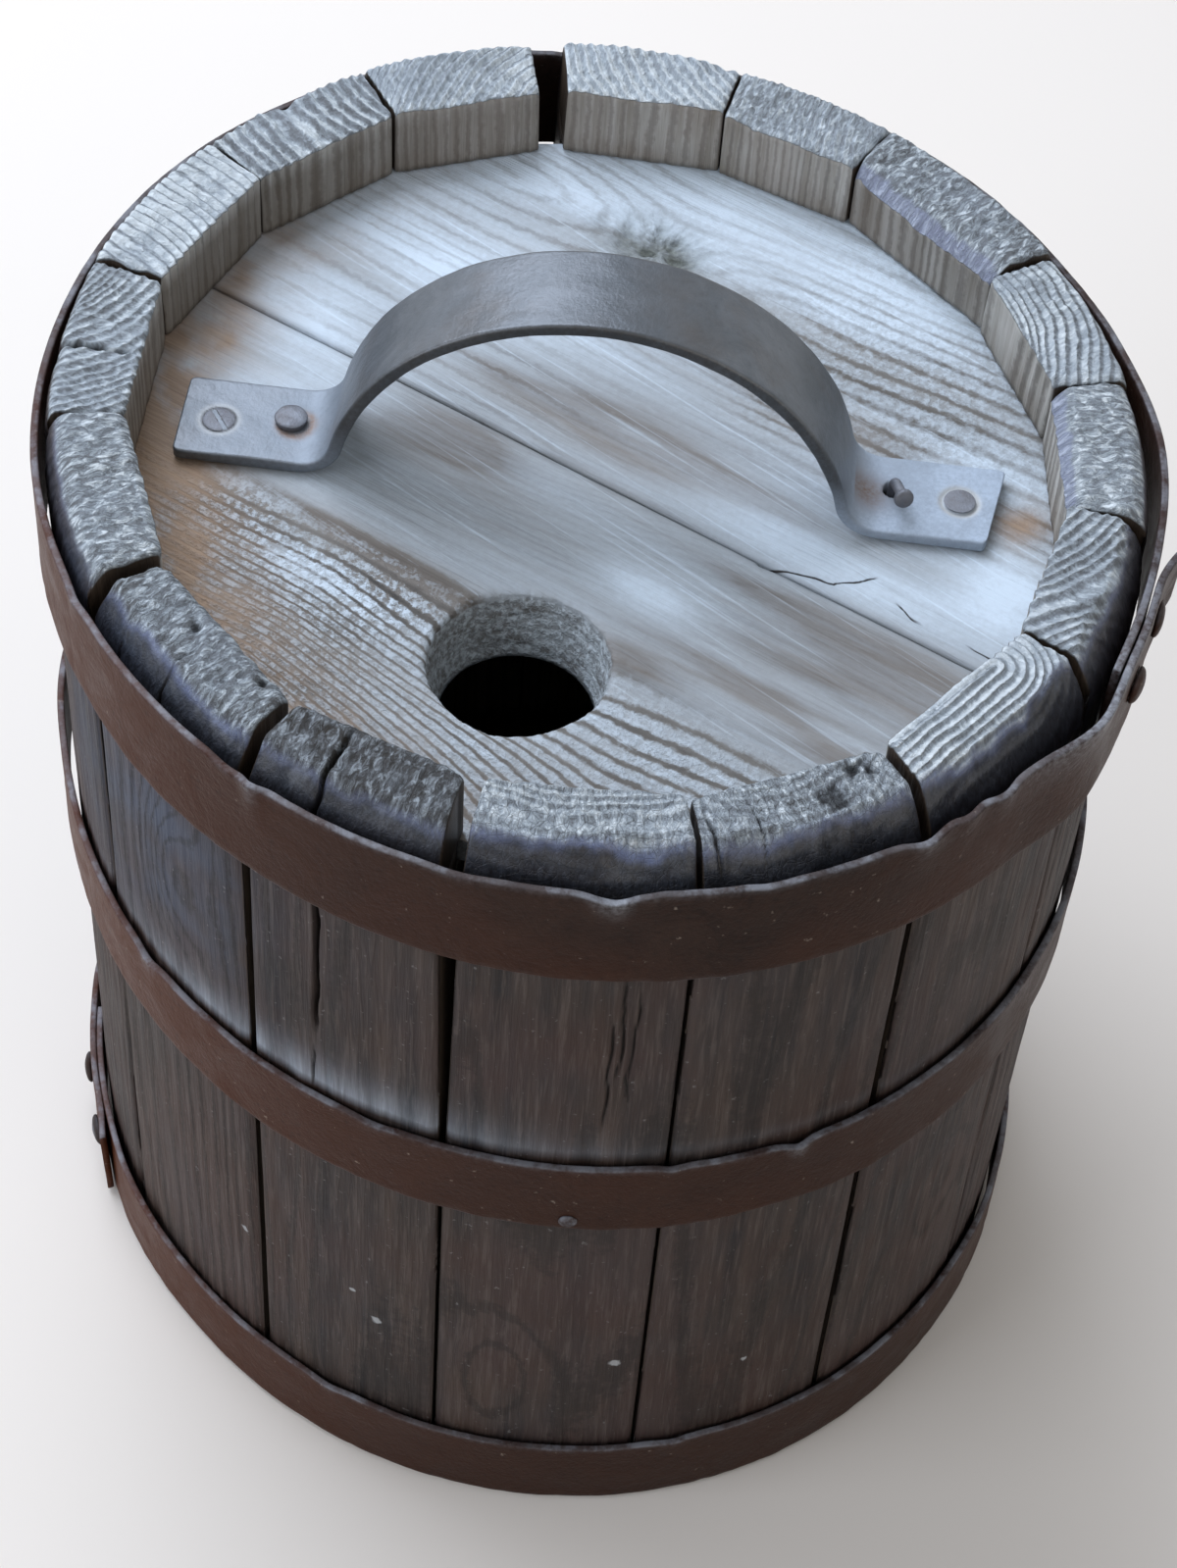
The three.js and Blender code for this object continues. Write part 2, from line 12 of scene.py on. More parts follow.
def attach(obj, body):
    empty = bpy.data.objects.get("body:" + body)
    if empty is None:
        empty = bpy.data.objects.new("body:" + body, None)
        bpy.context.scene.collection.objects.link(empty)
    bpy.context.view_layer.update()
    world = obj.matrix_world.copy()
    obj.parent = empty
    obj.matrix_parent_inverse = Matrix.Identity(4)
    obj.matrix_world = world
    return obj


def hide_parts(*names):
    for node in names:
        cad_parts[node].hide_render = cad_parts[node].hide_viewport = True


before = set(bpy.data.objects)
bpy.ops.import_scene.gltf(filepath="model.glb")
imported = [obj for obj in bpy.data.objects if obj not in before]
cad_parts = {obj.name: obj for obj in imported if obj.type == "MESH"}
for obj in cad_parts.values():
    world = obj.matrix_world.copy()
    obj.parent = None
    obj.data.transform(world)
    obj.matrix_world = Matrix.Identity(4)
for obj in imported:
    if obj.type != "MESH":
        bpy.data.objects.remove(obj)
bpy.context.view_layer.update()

# Staves: sixteen softwood boards of unequal width, bevelled so that they close into a ring that only
# the hoops hold. Round the head their ends have weathered: the soft growth is gone between the hard
# rings, the outer edges are rubbed over to a dark polish, and the sides are brown with old wine.
MM = 0.001
CASK_HEIGHT = 274
RIM_RADIUS = 126
FOOT_RADIUS = 130.7
STAVE_THICKNESS = 21
FOOT_BEVEL = 3
CROZE_DEPTH = 5
UPPER_CROZE = (246.7, 254.3)
LOWER_CROZE = (19.7, 27.3)
OUT_OF_ROUND = 0.025
LONG_AXIS = math.radians(-63.4)
FOOT_ROWS = 6
SIDE_ROWS = 60
CHIME_ROWS = 11
END_ROWS = 30
FACE_COLUMNS = 81
JOINT_COLUMNS = 17

stretch = OUT_OF_ROUND * math.cos(2 * LONG_AXIS)
skew = OUT_OF_ROUND * math.sin(2 * LONG_AXIS)
OVAL = np.array([[1 + stretch, skew], [skew, 1 - stretch]])
BACK_TO_ROUND = np.linalg.inv(OVAL)

# Where the wood has changed or light is painted, by height, by bearing from the cask's axis or by stave:
# dust over the middle hoop, a painted bluish sheen on the left, painted shade on inner faces towards the
# left and above the head, one stave's brown inner face, and polish and crackle towards the rim.
DUSTY_LEDGE = 165
DUSTY_BEARING = -119
SKY_SHEEN_BEARING = -142
SHADED_BEARING = 155
BROWN_INNER_STAVE = 3
POLISHED_FROM = 238
CRACKLED_FROM = 240

# For each stave, clockwise from the open joint at the back: where the heart of its tree lay, along
# the rim and outwards from the middle of its end, and how far the heart runs on along the rim; the
# spacing and height of its growth rings; the height of its grit; its inner chamfer; how pale its end
# has turned; and how far it has crackled.
STAVE_ENDS = [
    (-45, 25, 0, 3.0, 1.0, 0.25, 0.8, 1.00, 0.0),
    (-70, 12, 0, 2.2, 0.5, 0.35, 0.8, 0.55, 0.0),
    (120, 40, 0, 3.5, 0.1, 0.60, 5.0, 0.40, 0.0),
    (8, -45, 0, 2.5, 0.7, 0.30, 1.0, 0.65, 0.0),
    (90, 60, 0, 4.0, 0.1, 0.60, 4.0, 0.70, 0.0),
    (32, -50, 0, 2.5, 0.7, 0.25, 1.0, 0.55, 0.1),
    (10, -8, 99, 2.1, 0.8, 0.15, 1.0, 0.85, 0.1),
    (-4, -38, 0, 2.4, 0.3, 0.35, 1.5, 0.55, 1.0),
    (0, -80, 0, 2.3, 0.5, 0.25, 1.2, 0.78, 1.0),
    (20, 90, 0, 4.0, 0.1, 0.50, 2.5, -0.35, 0.5),
    (-60, 70, 0, 4.0, 0.1, 0.60, 2.5, 0.25, 0.4),
    (70, 60, 0, 3.0, 0.1, 0.55, 2.0, 0.55, 0.2),
    (-30, 26, 0, 2.4, 0.6, 0.40, 1.0, 0.60, 0.1),
    (60, 10, 0, 3.0, 1.1, 0.25, 0.8, 0.80, 0.0),
    (-50, 0, 0, 3.6, 1.3, 0.25, 0.8, 0.45, 0.0),
    (-40, -36, 0, 2.3, 0.8, 0.30, 0.8, 0.75, 0.0),
]
# Cracks by stave: place across its width, half width, depth, and the heights it runs between.
STAVE_CRACKS = {
    8: [(-0.8, 0.35, 1.5, 262, 280), (-0.42, 0.2, 0.8, 262, 280)],
    9: [(0.40, 0.3, 0.9, 178, 222), (0.50, 0.3, 1.0, 196, 238), (0.60, 0.3, 0.9, 188, 232)],
    10: [(-0.26, 0.5, 4.0, 188, 280), (-0.32, 0.25, 1.2, 165, 182)],
    11: [(-0.55, 0.25, 1.0, 258, 272), (0.05, 0.3, 1.2, 256, 274)],
    13: [(0.10, 0.5, 3.0, 240, 280)],
}
# Chips out of the outer rim edge by stave: place across its width, half width and depth.
STAVE_CHIPS = {1: (-0.85, 4, 1.5), 8: (0.55, 5, 1.5), 13: (0.2, 3, 1.5), 15: (0.0, 3.5, 2.5)}
# Pits in an end by stave: place across its width and out from its inner face, half size and depth.
STAVE_PITS = {
    8: [(0.62, 4, 3.2, 2.2), (0.30, 9, 4.0, 0.8)],
    11: [(-0.15, 5.5, 1.3, 1.6), (0.62, 3, 1.0, 1.2)],
}
# Knots on an outer face by stave: place across its width, height, and how far they push the grain.
STAVE_KNOTS = {11: (0.1, 206, 15), 7: (0.3, 95, 5), 9: (-0.4, 60, 4)}
# Pale daubs splashed on the sides: bearing from the cask's axis, height and radius.
SIDE_DAUBS = [
    (-109, 70, 1.7), (-112, 80, 0.9), (-127, 76, 1.5), (-124.5, 69, 0.9), (-81.5, 70, 1.8), (-66, 60, 1.2),
]
# Colours as hex digits. Two together are the dark and the light of a grain.
SIDE_WOOD = ("1b1512", "3f322a")
RUBBED_WOOD = ("14171c", "343a44")
INNER_WOOD = ("8b877e", "c7c5bf")
JOINT_WOOD = ("241d18", "463b31")
END_WOOD = [(0.1, "38342f"), (0.4, "727577"), (0.68, "a1a9ae"), (0.95, "d3d9da")]
WINE_STAIN = "3b261d"
PALE_FIBRE = "584d46"
SKY_SHEEN = "434e60"
SIDE_RING = "130f0d"
SIDE_DOT = "8f8e8d"
SIDE_DAUB = "a3a5a6"
INNER_FURROW = "514d49"
INNER_STAIN = "7d6a5b"
INNER_SHADE_AND_BROWN = "524536"
BEVEL_SHEEN = "8f94ab"
PAINTED_GLINT = "6c7aa4"
CRACKLE_LINE = "2f2b29"
STAVE_DUST = "a9b3be"
CRACK_SHADE = "15110f"


def outer_radius(z):
    """Outer face of the staves: a cone that widens evenly from the rim to the floor."""
    return FOOT_RADIUS + (RIM_RADIUS - FOOT_RADIUS) * z / CASK_HEIGHT


def joined(*parts):
    """Points from their coordinates, each an array or one number for all."""
    return np.stack(np.broadcast_arrays(*parts), -1)


def ovalled(points):
    """Points of a round cask on the sunk one: longer along one axis and shorter across it."""
    return np.concatenate([points[..., :2] @ OVAL, points[..., 2:]], -1)


def stood_round(out, along, z, angle):
    """Points of the sunk cask from a distance out at an angle, one along the rim there, and a height."""
    x = out * np.cos(angle) - along * np.sin(angle)
    y = out * np.sin(angle) + along * np.cos(angle)
    return ovalled(joined(x, y, z))


def eased(share):
    """A share from 0 to 1 that starts and ends slowly: thrice its square less twice its cube."""
    return share * share * (3 - 2 * share)


def noise(points, seed):
    """Smooth noise from -1 to 1: chance values at whole-number places, eased from one to the next."""
    whole = np.floor(points).astype(np.int64)
    ease = eased(points - whole)
    steps = np.array([73856093, 19349663, 83492791])[: points.shape[-1]]
    total = np.zeros(points.shape[:-1])
    for corner in itertools.product((0, 1), repeat=points.shape[-1]):
        key = (whole + corner) @ steps + seed * 49979687
        key = (key ^ (key >> 13)) * 1274126177
        key = (key ^ (key >> 16)) & 0xFFFF
        total += (key / 32767.5 - 1) * np.prod(np.where(corner, ease, 1 - ease), -1)
    return total


def rough(points, seed, octaves=4):
    """Noise laid over itself, each layer twice as fine and half as high as the one before."""
    return sum(noise(points * 2**layer, seed + layer) / 2**layer for layer in range(octaves))


def rounded(share):
    """What a quarter circle takes off an edge: all of it at 0, nothing from 1 on."""
    return 1 - np.sqrt(1 - (1 - np.clip(share, 0, 1)) ** 2)


def rising(value, start, end):
    """How far a value has come from a start to an end: 0 before the one and 1 past the other."""
    return np.clip((value - start) / (end - start), 0, 1)


def bump_at(distance, half_width):
    """A bell that is 1 at distance 0 and has died away at twice its half width."""
    return np.exp(-((distance / half_width) ** 2))


def crest(count):
    """A cosine wave of the growth rings' running count: 1 on each ring and 0 halfway to the next."""
    return 0.5 + 0.5 * np.cos(2 * math.pi * count)


def wrapped(degrees):
    """An angle brought between -180 and 180 degrees."""
    return (degrees + 180) % 360 - 180


def stave_extent(name):
    """Rim and floor angles of a solid stave, each a middle and a half, then its height and edge wear.

    Its corners are put back on a round cask. At each end the outermost of them lie on an arc, whose
    ends are the joints; from the rim they lean to their floor angles, which they reach halfway down.
    The wear is what the rim's arc lacks to the cone, which widens down the wear."""
    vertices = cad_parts[name].data.vertices
    corners = np.empty(3 * len(vertices))
    vertices.foreach_get("co", corners)
    x, y, z = corners.reshape(-1, 3).T / MM
    x, y = BACK_TO_ROUND @ [x, y]
    radius = np.hypot(x, y)
    start = math.atan2(y.mean(), x.mean())
    turn = (np.arctan2(y, x) - start + math.pi) % (2 * math.pi) - math.pi
    top = z.max()

    def outer_arc(at_end):
        """Radius of the outermost corners at an end, and the middle and half of the angle they span."""
        arc_radius = radius[at_end].max()
        arc = turn[at_end & (radius > arc_radius - 1)]
        return arc_radius, (start + (arc.max() + arc.min()) / 2, (arc.max() - arc.min()) / 2)

    rim_radius, rim = outer_arc(z > top - 0.01)
    _, floor = outer_arc(z < 0.01)
    widening = 2 * (FOOT_RADIUS - RIM_RADIUS) / CASK_HEIGHT
    return rim, floor, top, (outer_radius(top) - rim_radius) / (1 - widening)


def stave_surface(number, extent, seed):
    """Points of a stave in rings round its section, and masks for its finish.

    A ring is a share across the width and a share through the thickness, from -1 on the inner face to
    1 on the outer. The rings start on a line in the foot, widen to the sides, climb them with a groove
    at each head, and close over the worn end to a line again. Over an end the height is a field: the
    outer edge has lost a mean of a chamfer and a quarter ellipse, the inner one a chamfer, the joints
    a small round. Growth rings run round the heart of the tree, some wider than others, and leave
    ridges on the end and down the faces."""
    (rim_middle, rim_half), (floor_middle, floor_half), top, wear = extent
    heart_along, heart_out, heart_run, spacing, ridge_height, *others = STAVE_ENDS[number - 1]
    grit, chamfer, pale, crackle = others
    cracks = STAVE_CRACKS.get(number, [])
    half_depth = STAVE_THICKNESS / 2
    half_width = RIM_RADIUS * math.sin(rim_half)
    flat_wear = 0.6 * rising(wear, 4, 7.5)
    # Shares across and through the stave, closer together at its edges and beside a crack.
    spread = np.linspace(-1, 1, FACE_COLUMNS)
    across = 0.65 * spread + 0.35 * np.sin(spread * math.pi / 2)
    beside = np.array([-2, -1, -0.5, 0, 0.5, 1, 2])
    for place, crack_half, *_ in cracks:
        across = np.concatenate([across, place + beside * crack_half / half_width])
    across = np.unique(across)
    through = np.linspace(1, -1, JOINT_COLUMNS + 2)[1:-1]
    share_across = np.concatenate([across, np.ones_like(through), across[::-1], -np.ones_like(through)])
    share_through = np.concatenate([np.ones_like(across), through, -np.ones_like(across), -through])

    def leaning(floor, rim, z):
        """A floor angle up to half height, and from there evenly over to the rim's."""
        return floor + (rim - floor) * rising(z, CASK_HEIGHT / 2, CASK_HEIGHT)

    def section(inset, z, groove=0.0):
        """A ring drawn in by an inset: distances along the rim, out from the axis, and from its three faces.

        The outer face is an arc, the inner one flat, and the joints are straight from one to the other."""
        radius = outer_radius(z)
        half = leaning(floor_half, rim_half, z)
        inner = radius - STAVE_THICKNESS + groove
        share = 0.5 + 0.5 * share_through * (1 - inset / half_depth)
        inner_half = inner * np.tan(half)
        wide = inner_half + share * (radius * np.sin(half) - inner_half)
        along = share_across * (wide - inset)
        reach = np.sqrt(radius**2 - along**2)
        out = inner + share * (reach - inner)
        return along, out, reach - out, out - inner, wide - np.abs(along)

    def ring_count(along, out, z):
        """Distance from the heart, uneven by noise and pushed out by a knot, in ring spacings."""
        place = joined(along / 7, out / 7, z / 60)
        past = along - heart_along
        past = np.maximum(past, 0) + np.minimum(past + heart_run, 0)
        distance = np.hypot(past, out - RIM_RADIUS + half_depth - heart_out)
        uneven = joined(distance / spacing / 3.3, 0.0)
        distance = distance + spacing * (0.3 * noise(place, seed) + 0.8 * noise(uneven, seed + 8))
        if number in STAVE_KNOTS:
            knot_across, knot_z, push = STAVE_KNOTS[number]
            knot = np.hypot((along - knot_across * half_width) / 11, (z - knot_z) / 26)
            distance = distance + push * bump_at(knot, 1)
        return distance / spacing

    def end_height(along, out, to_outside, to_inside, to_joint):
        """Height of the end, less what its edges, the valleys between rings, grit and a chip have lost."""
        place = joined(along, out)
        uneven = 1 + 0.16 * noise(place / 12, seed + 1) + 0.08 * noise(place / 3, seed + 7)
        edge = to_outside / (wear * uneven)
        height = top + 0.5 * noise(place / 22, seed + 2) + 0.45 * noise(place / 8, seed + 10)
        worn = flat_wear * rising(edge, 1, 0) + (1 - flat_wear) * rounded(edge)
        height = height - 2 * wear * worn - 1.3 * rounded(to_joint / 1.8)
        cut = chamfer * uneven
        height = height - cut * rising(to_inside, cut, 0) ** 1.3
        fade = np.clip(edge, 0.1, 1) * np.clip(to_inside / chamfer, 0.5, 1)
        height = height - ridge_height * fade * (1 - crest(ring_count(along, out, top)))
        height = height + 0.9 * grit * fade * rough(place / np.array([1.6, 3.0]), seed + 3)
        if number in STAVE_CHIPS:
            chip_across, chip_half, depth = STAVE_CHIPS[number]
            near = bump_at(along - chip_across * half_width, chip_half)
            height = height - depth * near * bump_at(to_outside, 5)
        return height

    # Rows from the foot to the end, with a step into each groove and out again.
    end_inset = half_depth * np.linspace(0, 1, END_ROWS)[:, None] ** 1.25
    foot_inset = half_depth * np.linspace(1, 0, FOOT_ROWS)[:, None]
    top_section = section(end_inset, top)
    end_z = end_height(*top_section)
    foot_section = section(foot_inset, 0.0)
    foot_z = FOOT_BEVEL * rounded(foot_section[2] / FOOT_BEVEL) + 0.6 * rounded(foot_section[4] / 1.5)
    flat = np.ones_like(share_across)
    side_z = np.concatenate([
        np.linspace(foot_z[-1], LOWER_CROZE[0] * flat, FOOT_ROWS + 1)[1:],
        np.outer(LOWER_CROZE, flat),
        np.linspace(LOWER_CROZE[1] * flat, UPPER_CROZE[0] * flat, SIDE_ROWS),
        np.outer(UPPER_CROZE, flat),
        np.linspace(UPPER_CROZE[1] * flat, end_z[0], CHIME_ROWS, endpoint=False),
    ])
    side_z = np.minimum(side_z, end_z[0])
    groove = np.zeros((len(side_z), 1))
    groove[[FOOT_ROWS, FOOT_ROWS + 1, -CHIME_ROWS - 2, -CHIME_ROWS - 1]] = CROZE_DEPTH
    side_section = section(0.0, side_z, groove)

    along, out, to_outside, to_inside, to_joint = (
        np.concatenate(parts) for parts in zip(foot_section, side_section, top_section)
    )
    z = np.concatenate([foot_z, side_z, end_z])
    inset = np.concatenate([foot_inset, 0 * groove, end_inset])
    upper_end = (inset > 0) & (z > CASK_HEIGHT / 2)
    skin = rising(inset, 2.5, 0)
    outside = skin * (share_through == 1)
    inside = skin * (share_through == -1)
    count = ring_count(along, out, z)
    valley = 1 - crest(count)
    # Cracks open the outer face and the end, and pits the end alone.
    crack = np.zeros_like(z)
    hollow = np.zeros_like(z)
    wander = joined(z / 9, out / 9)
    for index, (place, crack_half, depth, low, high) in enumerate(cracks):
        line = place * half_width + 0.7 * rough(wander, seed + 20 + index, 3)
        run = rising(z, low, low + 6) * rising(z, high, high - 6)
        line_mask = bump_at(along - line, crack_half) * run * rising(to_inside, 0, half_depth)
        crack = crack + depth * line_mask
        hollow = np.maximum(hollow, line_mask)
    pitted = np.zeros_like(z)
    for place, from_inside, pit_half, depth in STAVE_PITS.get(number, []):
        pit = np.hypot(along - place * half_width, to_inside - from_inside) / pit_half
        ragged = 1 + 0.7 * rough(joined(along, out) / 2, seed + 30)
        torn = np.clip(bump_at(pit, 1) * ragged, 0, 1)
        pitted = pitted + depth * torn * upper_end
        hollow = np.maximum(hollow, 0.8 * rising(torn, 0.35, 0.75) * upper_end)
    # Ridges and fibres down both faces, and rubbed joints.
    fibre = rough(joined(along / 1.6, z / 26), seed + 4, 3)
    out = out - outside * (0.25 * valley + 0.15 * (1 + fibre) + 1.2 * rounded(to_joint / 2.0) + crack)
    sawn = 0.15 + 0.5 * ridge_height * rising(z, CASK_HEIGHT - 14, CASK_HEIGHT - 4)
    out = out + inside * (sawn * valley + 0.15 * fibre + 0.5 * rounded(to_joint / 1.5))
    z = z - upper_end * crack - pitted

    # Masks: where the rub ends, what faces where, and what has turned pale, dark or dusty.
    border = joined(along / 5, out / 5)
    rub = (0.32 + 0.85 * flat_wear) * (1 + 0.12 * rough(border, seed + 5))
    past_rub = to_outside / wear - rub
    on_end = np.where(upper_end, np.clip(past_rub / 0.1 + 0.5, 0, 1), inset > 0)
    bearing = np.degrees(rim_middle + along / RIM_RADIUS)
    above = np.where(z > DUSTY_LEDGE, z - DUSTY_LEDGE, CASK_HEIGHT)
    ledge = 0.75 * bump_at(above, 10) * bump_at(bearing - DUSTY_BEARING, 24) + 0.5 * bump_at(above, 2.5)
    # Painted shade on inner faces towards the left and just above the head; one stave's inner face is its
    # own brown.
    painted_shade_and_brown = 0.65 * bump_at(wrapped(bearing - SHADED_BEARING), 48) + 0.4 * (number == BROWN_INNER_STAVE)
    shade_above_head = 0.4 * rising(z, UPPER_CROZE[1] + 10, UPPER_CROZE[1])
    bevelled = np.clip(4 - 6 * to_inside / chamfer + rough(border, seed + 9), 0, 1)
    polished = rising(z, POLISHED_FROM, POLISHED_FROM + 12) * (0.35 + flat_wear)
    masks = {
        "ring_count": count,
        "ring_strength": np.where(on_end > 0.02, np.minimum(ridge_height, 1), 0.4),
        "end_along": along,
        "end_out": out,
        "on_end": on_end,
        "inner_face": (share_through == -1) & (inset < 0.2),
        "joint_face": (np.abs(share_through) < 0.99) & (inset < 0.2),
        "painted_shade_and_brown": np.maximum(painted_shade_and_brown, shade_above_head) * rising(z, top - 1, top - 6),
        "glint": upper_end * flat_wear * bump_at(past_rub, 0.1),
        "hollow": hollow,
        "paleness": pale * np.clip(1.15 - 0.4 * to_inside / STAVE_THICKNESS, 0, 1.1),
        "sky_sheen": bump_at(bearing - SKY_SHEEN_BEARING, 17) * rising(z, DUSTY_LEDGE, DUSTY_LEDGE + 30),
        "crackle": crackle * rising(z, CRACKLED_FROM, CRACKLED_FROM + 20) * (0.3 + 0.7 * on_end),
        "polish": polished * (1 - on_end) * (share_through > -0.5),
        "bevel": upper_end * (chamfer > 3) * bevelled,
        "ledge": ledge * (share_through == 1) * np.clip((outer_radius(z) + 0.5 - out) / 0.5, 0, 1),
    }
    return stood_round(out, along, z, leaning(floor_middle, rim_middle, z)), masks


def woven(rows, columns, rows_close):
    """Corner numbers of the faces of a grid of points, whose rows run round and may close as well."""
    number = np.arange(rows * columns).reshape(rows, columns)
    if rows_close:
        number = np.vstack([number, number[:1]])
    number = np.hstack([number, number[:, :1]])
    corners = [number[:-1, :-1], number[:-1, 1:], number[1:, 1:], number[1:, :-1]]
    return np.stack(corners, -1).reshape(-1, 4)


def add_piece(name, points, masks, finish, stands_for, rows_close=False):
    """A closed mesh from a grid of points, facing outwards, that rides on the cask for its solid.

    Points that fall together at seams and poles are merged. The faces are turned round where the
    volume they enclose, a sum of corner products, comes out negative."""
    faces = woven(*points.shape[:2], rows_close)
    grid = points.reshape(-1, 3) * MM
    first, second, third, fourth = (grid[faces[:, corner]] for corner in range(4))
    normals = np.cross(third - first, fourth - second)
    if (normals * (first + second + third + fourth)).sum() < 0:
        faces = faces[:, ::-1]
    mesh = bpy.data.meshes.new(name)
    mesh.from_pydata(grid.tolist(), [], faces.tolist())
    for mask, values in masks.items():
        layer = mesh.attributes.new(mask, "FLOAT", "POINT")
        spread = np.broadcast_to(values, points.shape[:2])
        layer.data.foreach_set("value", spread.astype(np.float32).ravel())
    merged = bmesh.new()
    merged.from_mesh(mesh)
    bmesh.ops.remove_doubles(merged, verts=merged.verts, dist=1e-6)
    merged.to_mesh(mesh)
    merged.free()
    mesh.polygons.foreach_set("use_smooth", np.ones(len(mesh.polygons), bool))
    mesh.materials.append(finish)
    piece = bpy.data.objects.new(name, mesh)
    bpy.context.scene.collection.objects.link(piece)
    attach(piece, "root")
    if stands_for:
        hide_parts(stands_for)


def shade(code):
    """A colour written as six hex digits, in the linear numbers that sockets take."""
    parts = np.array([int(code[i : i + 2], 16) for i in (0, 2, 4)]) / 255
    linear = np.where(parts <= 0.04045, parts / 12.92, ((parts + 0.055) / 1.055) ** 2.4)
    return (*linear.tolist(), 1.0)


class Field:
    """A value, colour or place that changes over a surface: a node's output that reckons as a number.

    Each sum, difference or product with a number or another field is one more Math node."""

    def __init__(self, socket):
        self.socket = socket
        self.tree = socket.id_data

    def __add__(self, other):
        return maths("ADD", self, other)

    def __sub__(self, other):
        return maths("SUBTRACT", self, other)

    def __rsub__(self, other):
        return maths("SUBTRACT", other, self)

    def __mul__(self, other):
        return maths("MULTIPLY", self, other)

    __radd__ = __add__
    __rmul__ = __mul__


def fill(node, inputs):
    """Sets a node's inputs: a field is linked, six hex digits are a colour, the rest are values."""
    for name, value in inputs.items():
        if isinstance(value, Field):
            value.tree.links.new(value.socket, node.inputs[name])
        else:
            node.inputs[name].default_value = shade(value) if isinstance(value, str) else value


def add_node(tree, kind, inputs, **settings):
    """One node with its settings, which come first because they can change its inputs."""
    made = tree.nodes.new(kind)
    for name, value in settings.items():
        setattr(made, name, value)
    fill(made, inputs)
    return made


def field(tree, kind, inputs, output=0, **settings):
    """One output of a new node."""
    return Field(add_node(tree, kind, inputs, **settings).outputs[output])


def fields_of(node):
    """All outputs of a node by name."""
    return {output.name: Field(output) for output in node.outputs}


def maths(operation, first, second=0.0):
    """One Math node, of fields and numbers."""
    tree = first.tree if isinstance(first, Field) else second.tree
    return field(tree, "ShaderNodeMath", {0: first, 1: second}, operation=operation)


def larger(first, second):
    """The greater of two fields at each place."""
    return maths("MAXIMUM", first, second)


def held(total):
    """A sum or product held between 0 and 1 by its own Math node."""
    total.socket.node.use_clamp = True
    return total


def mix(share, first, second):
    """The first colour where the share is 0, the second where it is 1, and blends between."""
    return field(share.tree, "ShaderNodeMix", {0: share, 6: first, 7: second}, 2, data_type="RGBA")


def remap(value, span=(0.0, 1.0), to=(0.0, 1.0)):
    """A span of the value carried evenly to another, and held at both ends."""
    return field(value.tree, "ShaderNodeMapRange", dict(enumerate((value, *span, *to))))


def mottle(place, scale, detail, roughness, span=None, to=(0.0, 1.0), distortion=0.0):
    """Noise of this scale over a place, of which a span may be carried to another."""
    inputs = {"Vector": place, "Scale": scale, "Detail": detail, "Roughness": roughness}
    made = field(place.tree, "ShaderNodeTexNoise", inputs | {"Distortion": distortion})
    return remap(made, span, to) if span else made


def laid_out(place, turn=(0, 0, 0), drawn=(1, 1, 1)):
    """A place drawn out along its axes and then turned about them."""
    return field(place.tree, "ShaderNodeMapping", {"Vector": place, "Rotation": turn, "Scale": drawn})


def ramp(value, stops):
    """A colour for a value from 0 to 1, blended between stops of place and colour code."""
    node = add_node(value.tree, "ShaderNodeValToRGB", {0: value})
    while len(node.color_ramp.elements) < len(stops):
        node.color_ramp.elements.new(0.5)
    for element, (place, code) in zip(node.color_ramp.elements, stops):
        element.position = place
        element.color = shade(code)
    return Field(node.outputs[0])


def new_group(name, **inputs):
    """An empty shader group and its inputs: numbers with a starting value, and places without one."""
    tree = bpy.data.node_groups.new(name, "ShaderNodeTree")
    for socket, value in inputs.items():
        kind = "NodeSocketVector" if value is None else "NodeSocketFloat"
        made = tree.interface.new_socket(socket, in_out="INPUT", socket_type=kind)
        if value is not None:
            made.default_value = value
    return tree, fields_of(add_node(tree, "NodeGroupInput", {}))


def closed_group(tree, **outputs):
    """A group with its outputs, each a value by name."""
    for socket in outputs:
        tree.interface.new_socket(socket, in_out="OUTPUT", socket_type="NodeSocketFloat")
    add_node(tree, "NodeGroupOutput", outputs)
    return tree


def place_group(group, place, **inputs):
    """The outputs of a group at a place, with a material's own values."""
    return fields_of(add_node(place.tree, "ShaderNodeGroup", {"Place": place} | inputs, node_tree=group))


def wood_grain_group():
    """Grain along Z: noise drawn out twenty times that way, as broad bands, streaks and fine fibres."""
    tree, given = new_group("wood_grain", Place=None, Fineness=1.0)
    drawn = laid_out(given["Place"], drawn=(1, 1, 0.05))

    def grain(scale, detail, span):
        """One fineness of the drawn-out noise."""
        return mottle(drawn, scale * given["Fineness"], detail, 0.65, span, distortion=0.3)

    return closed_group(
        tree,
        Band=grain(32.0, 4.0, (0.36, 0.64)),
        Streak=grain(160.0, 5.0, (0.32, 0.68)),
        Fibre=grain(900.0, 3.0, (0.3, 0.7)),
    )


def ring_lines_group():
    """Growth rings from their running count: a cosine of it, jittered by fine noise.

    Ridge is its steepened crest and Line the narrow foot of each ring."""
    tree, given = new_group("ring_lines", Place=None, Count=0.0)
    jitter = 0.55 * mottle(given["Place"], 330.0, 3.0, 0.7)
    wave = maths("COSINE", 2 * math.pi * (given["Count"] + jitter))
    return closed_group(tree, Ridge=remap(wave, (-0.9, 0.1)), Line=remap(wave, (-0.55, -0.98)))


def dust_group():
    """Dust: how far the surface looks up, times patches of noise and a finer speckle."""
    tree, given = new_group("dust", Place=None, Amount=0.5, Patch=40.0)
    normal = field(tree, "ShaderNodeNewGeometry", {}, "Normal")
    lies = remap(field(tree, "ShaderNodeSeparateXYZ", {0: normal}, "Z"), (0.15, 0.9))
    patches = mottle(given["Place"], given["Patch"], 5.0, 0.6, (0.35, 0.65))
    speckle = mottle(given["Place"], 900.0, 2.0, 0.7, (0.3, 0.7), (0.6, 1.0))
    return closed_group(tree, Cover=held(lies * patches * speckle * given["Amount"]))


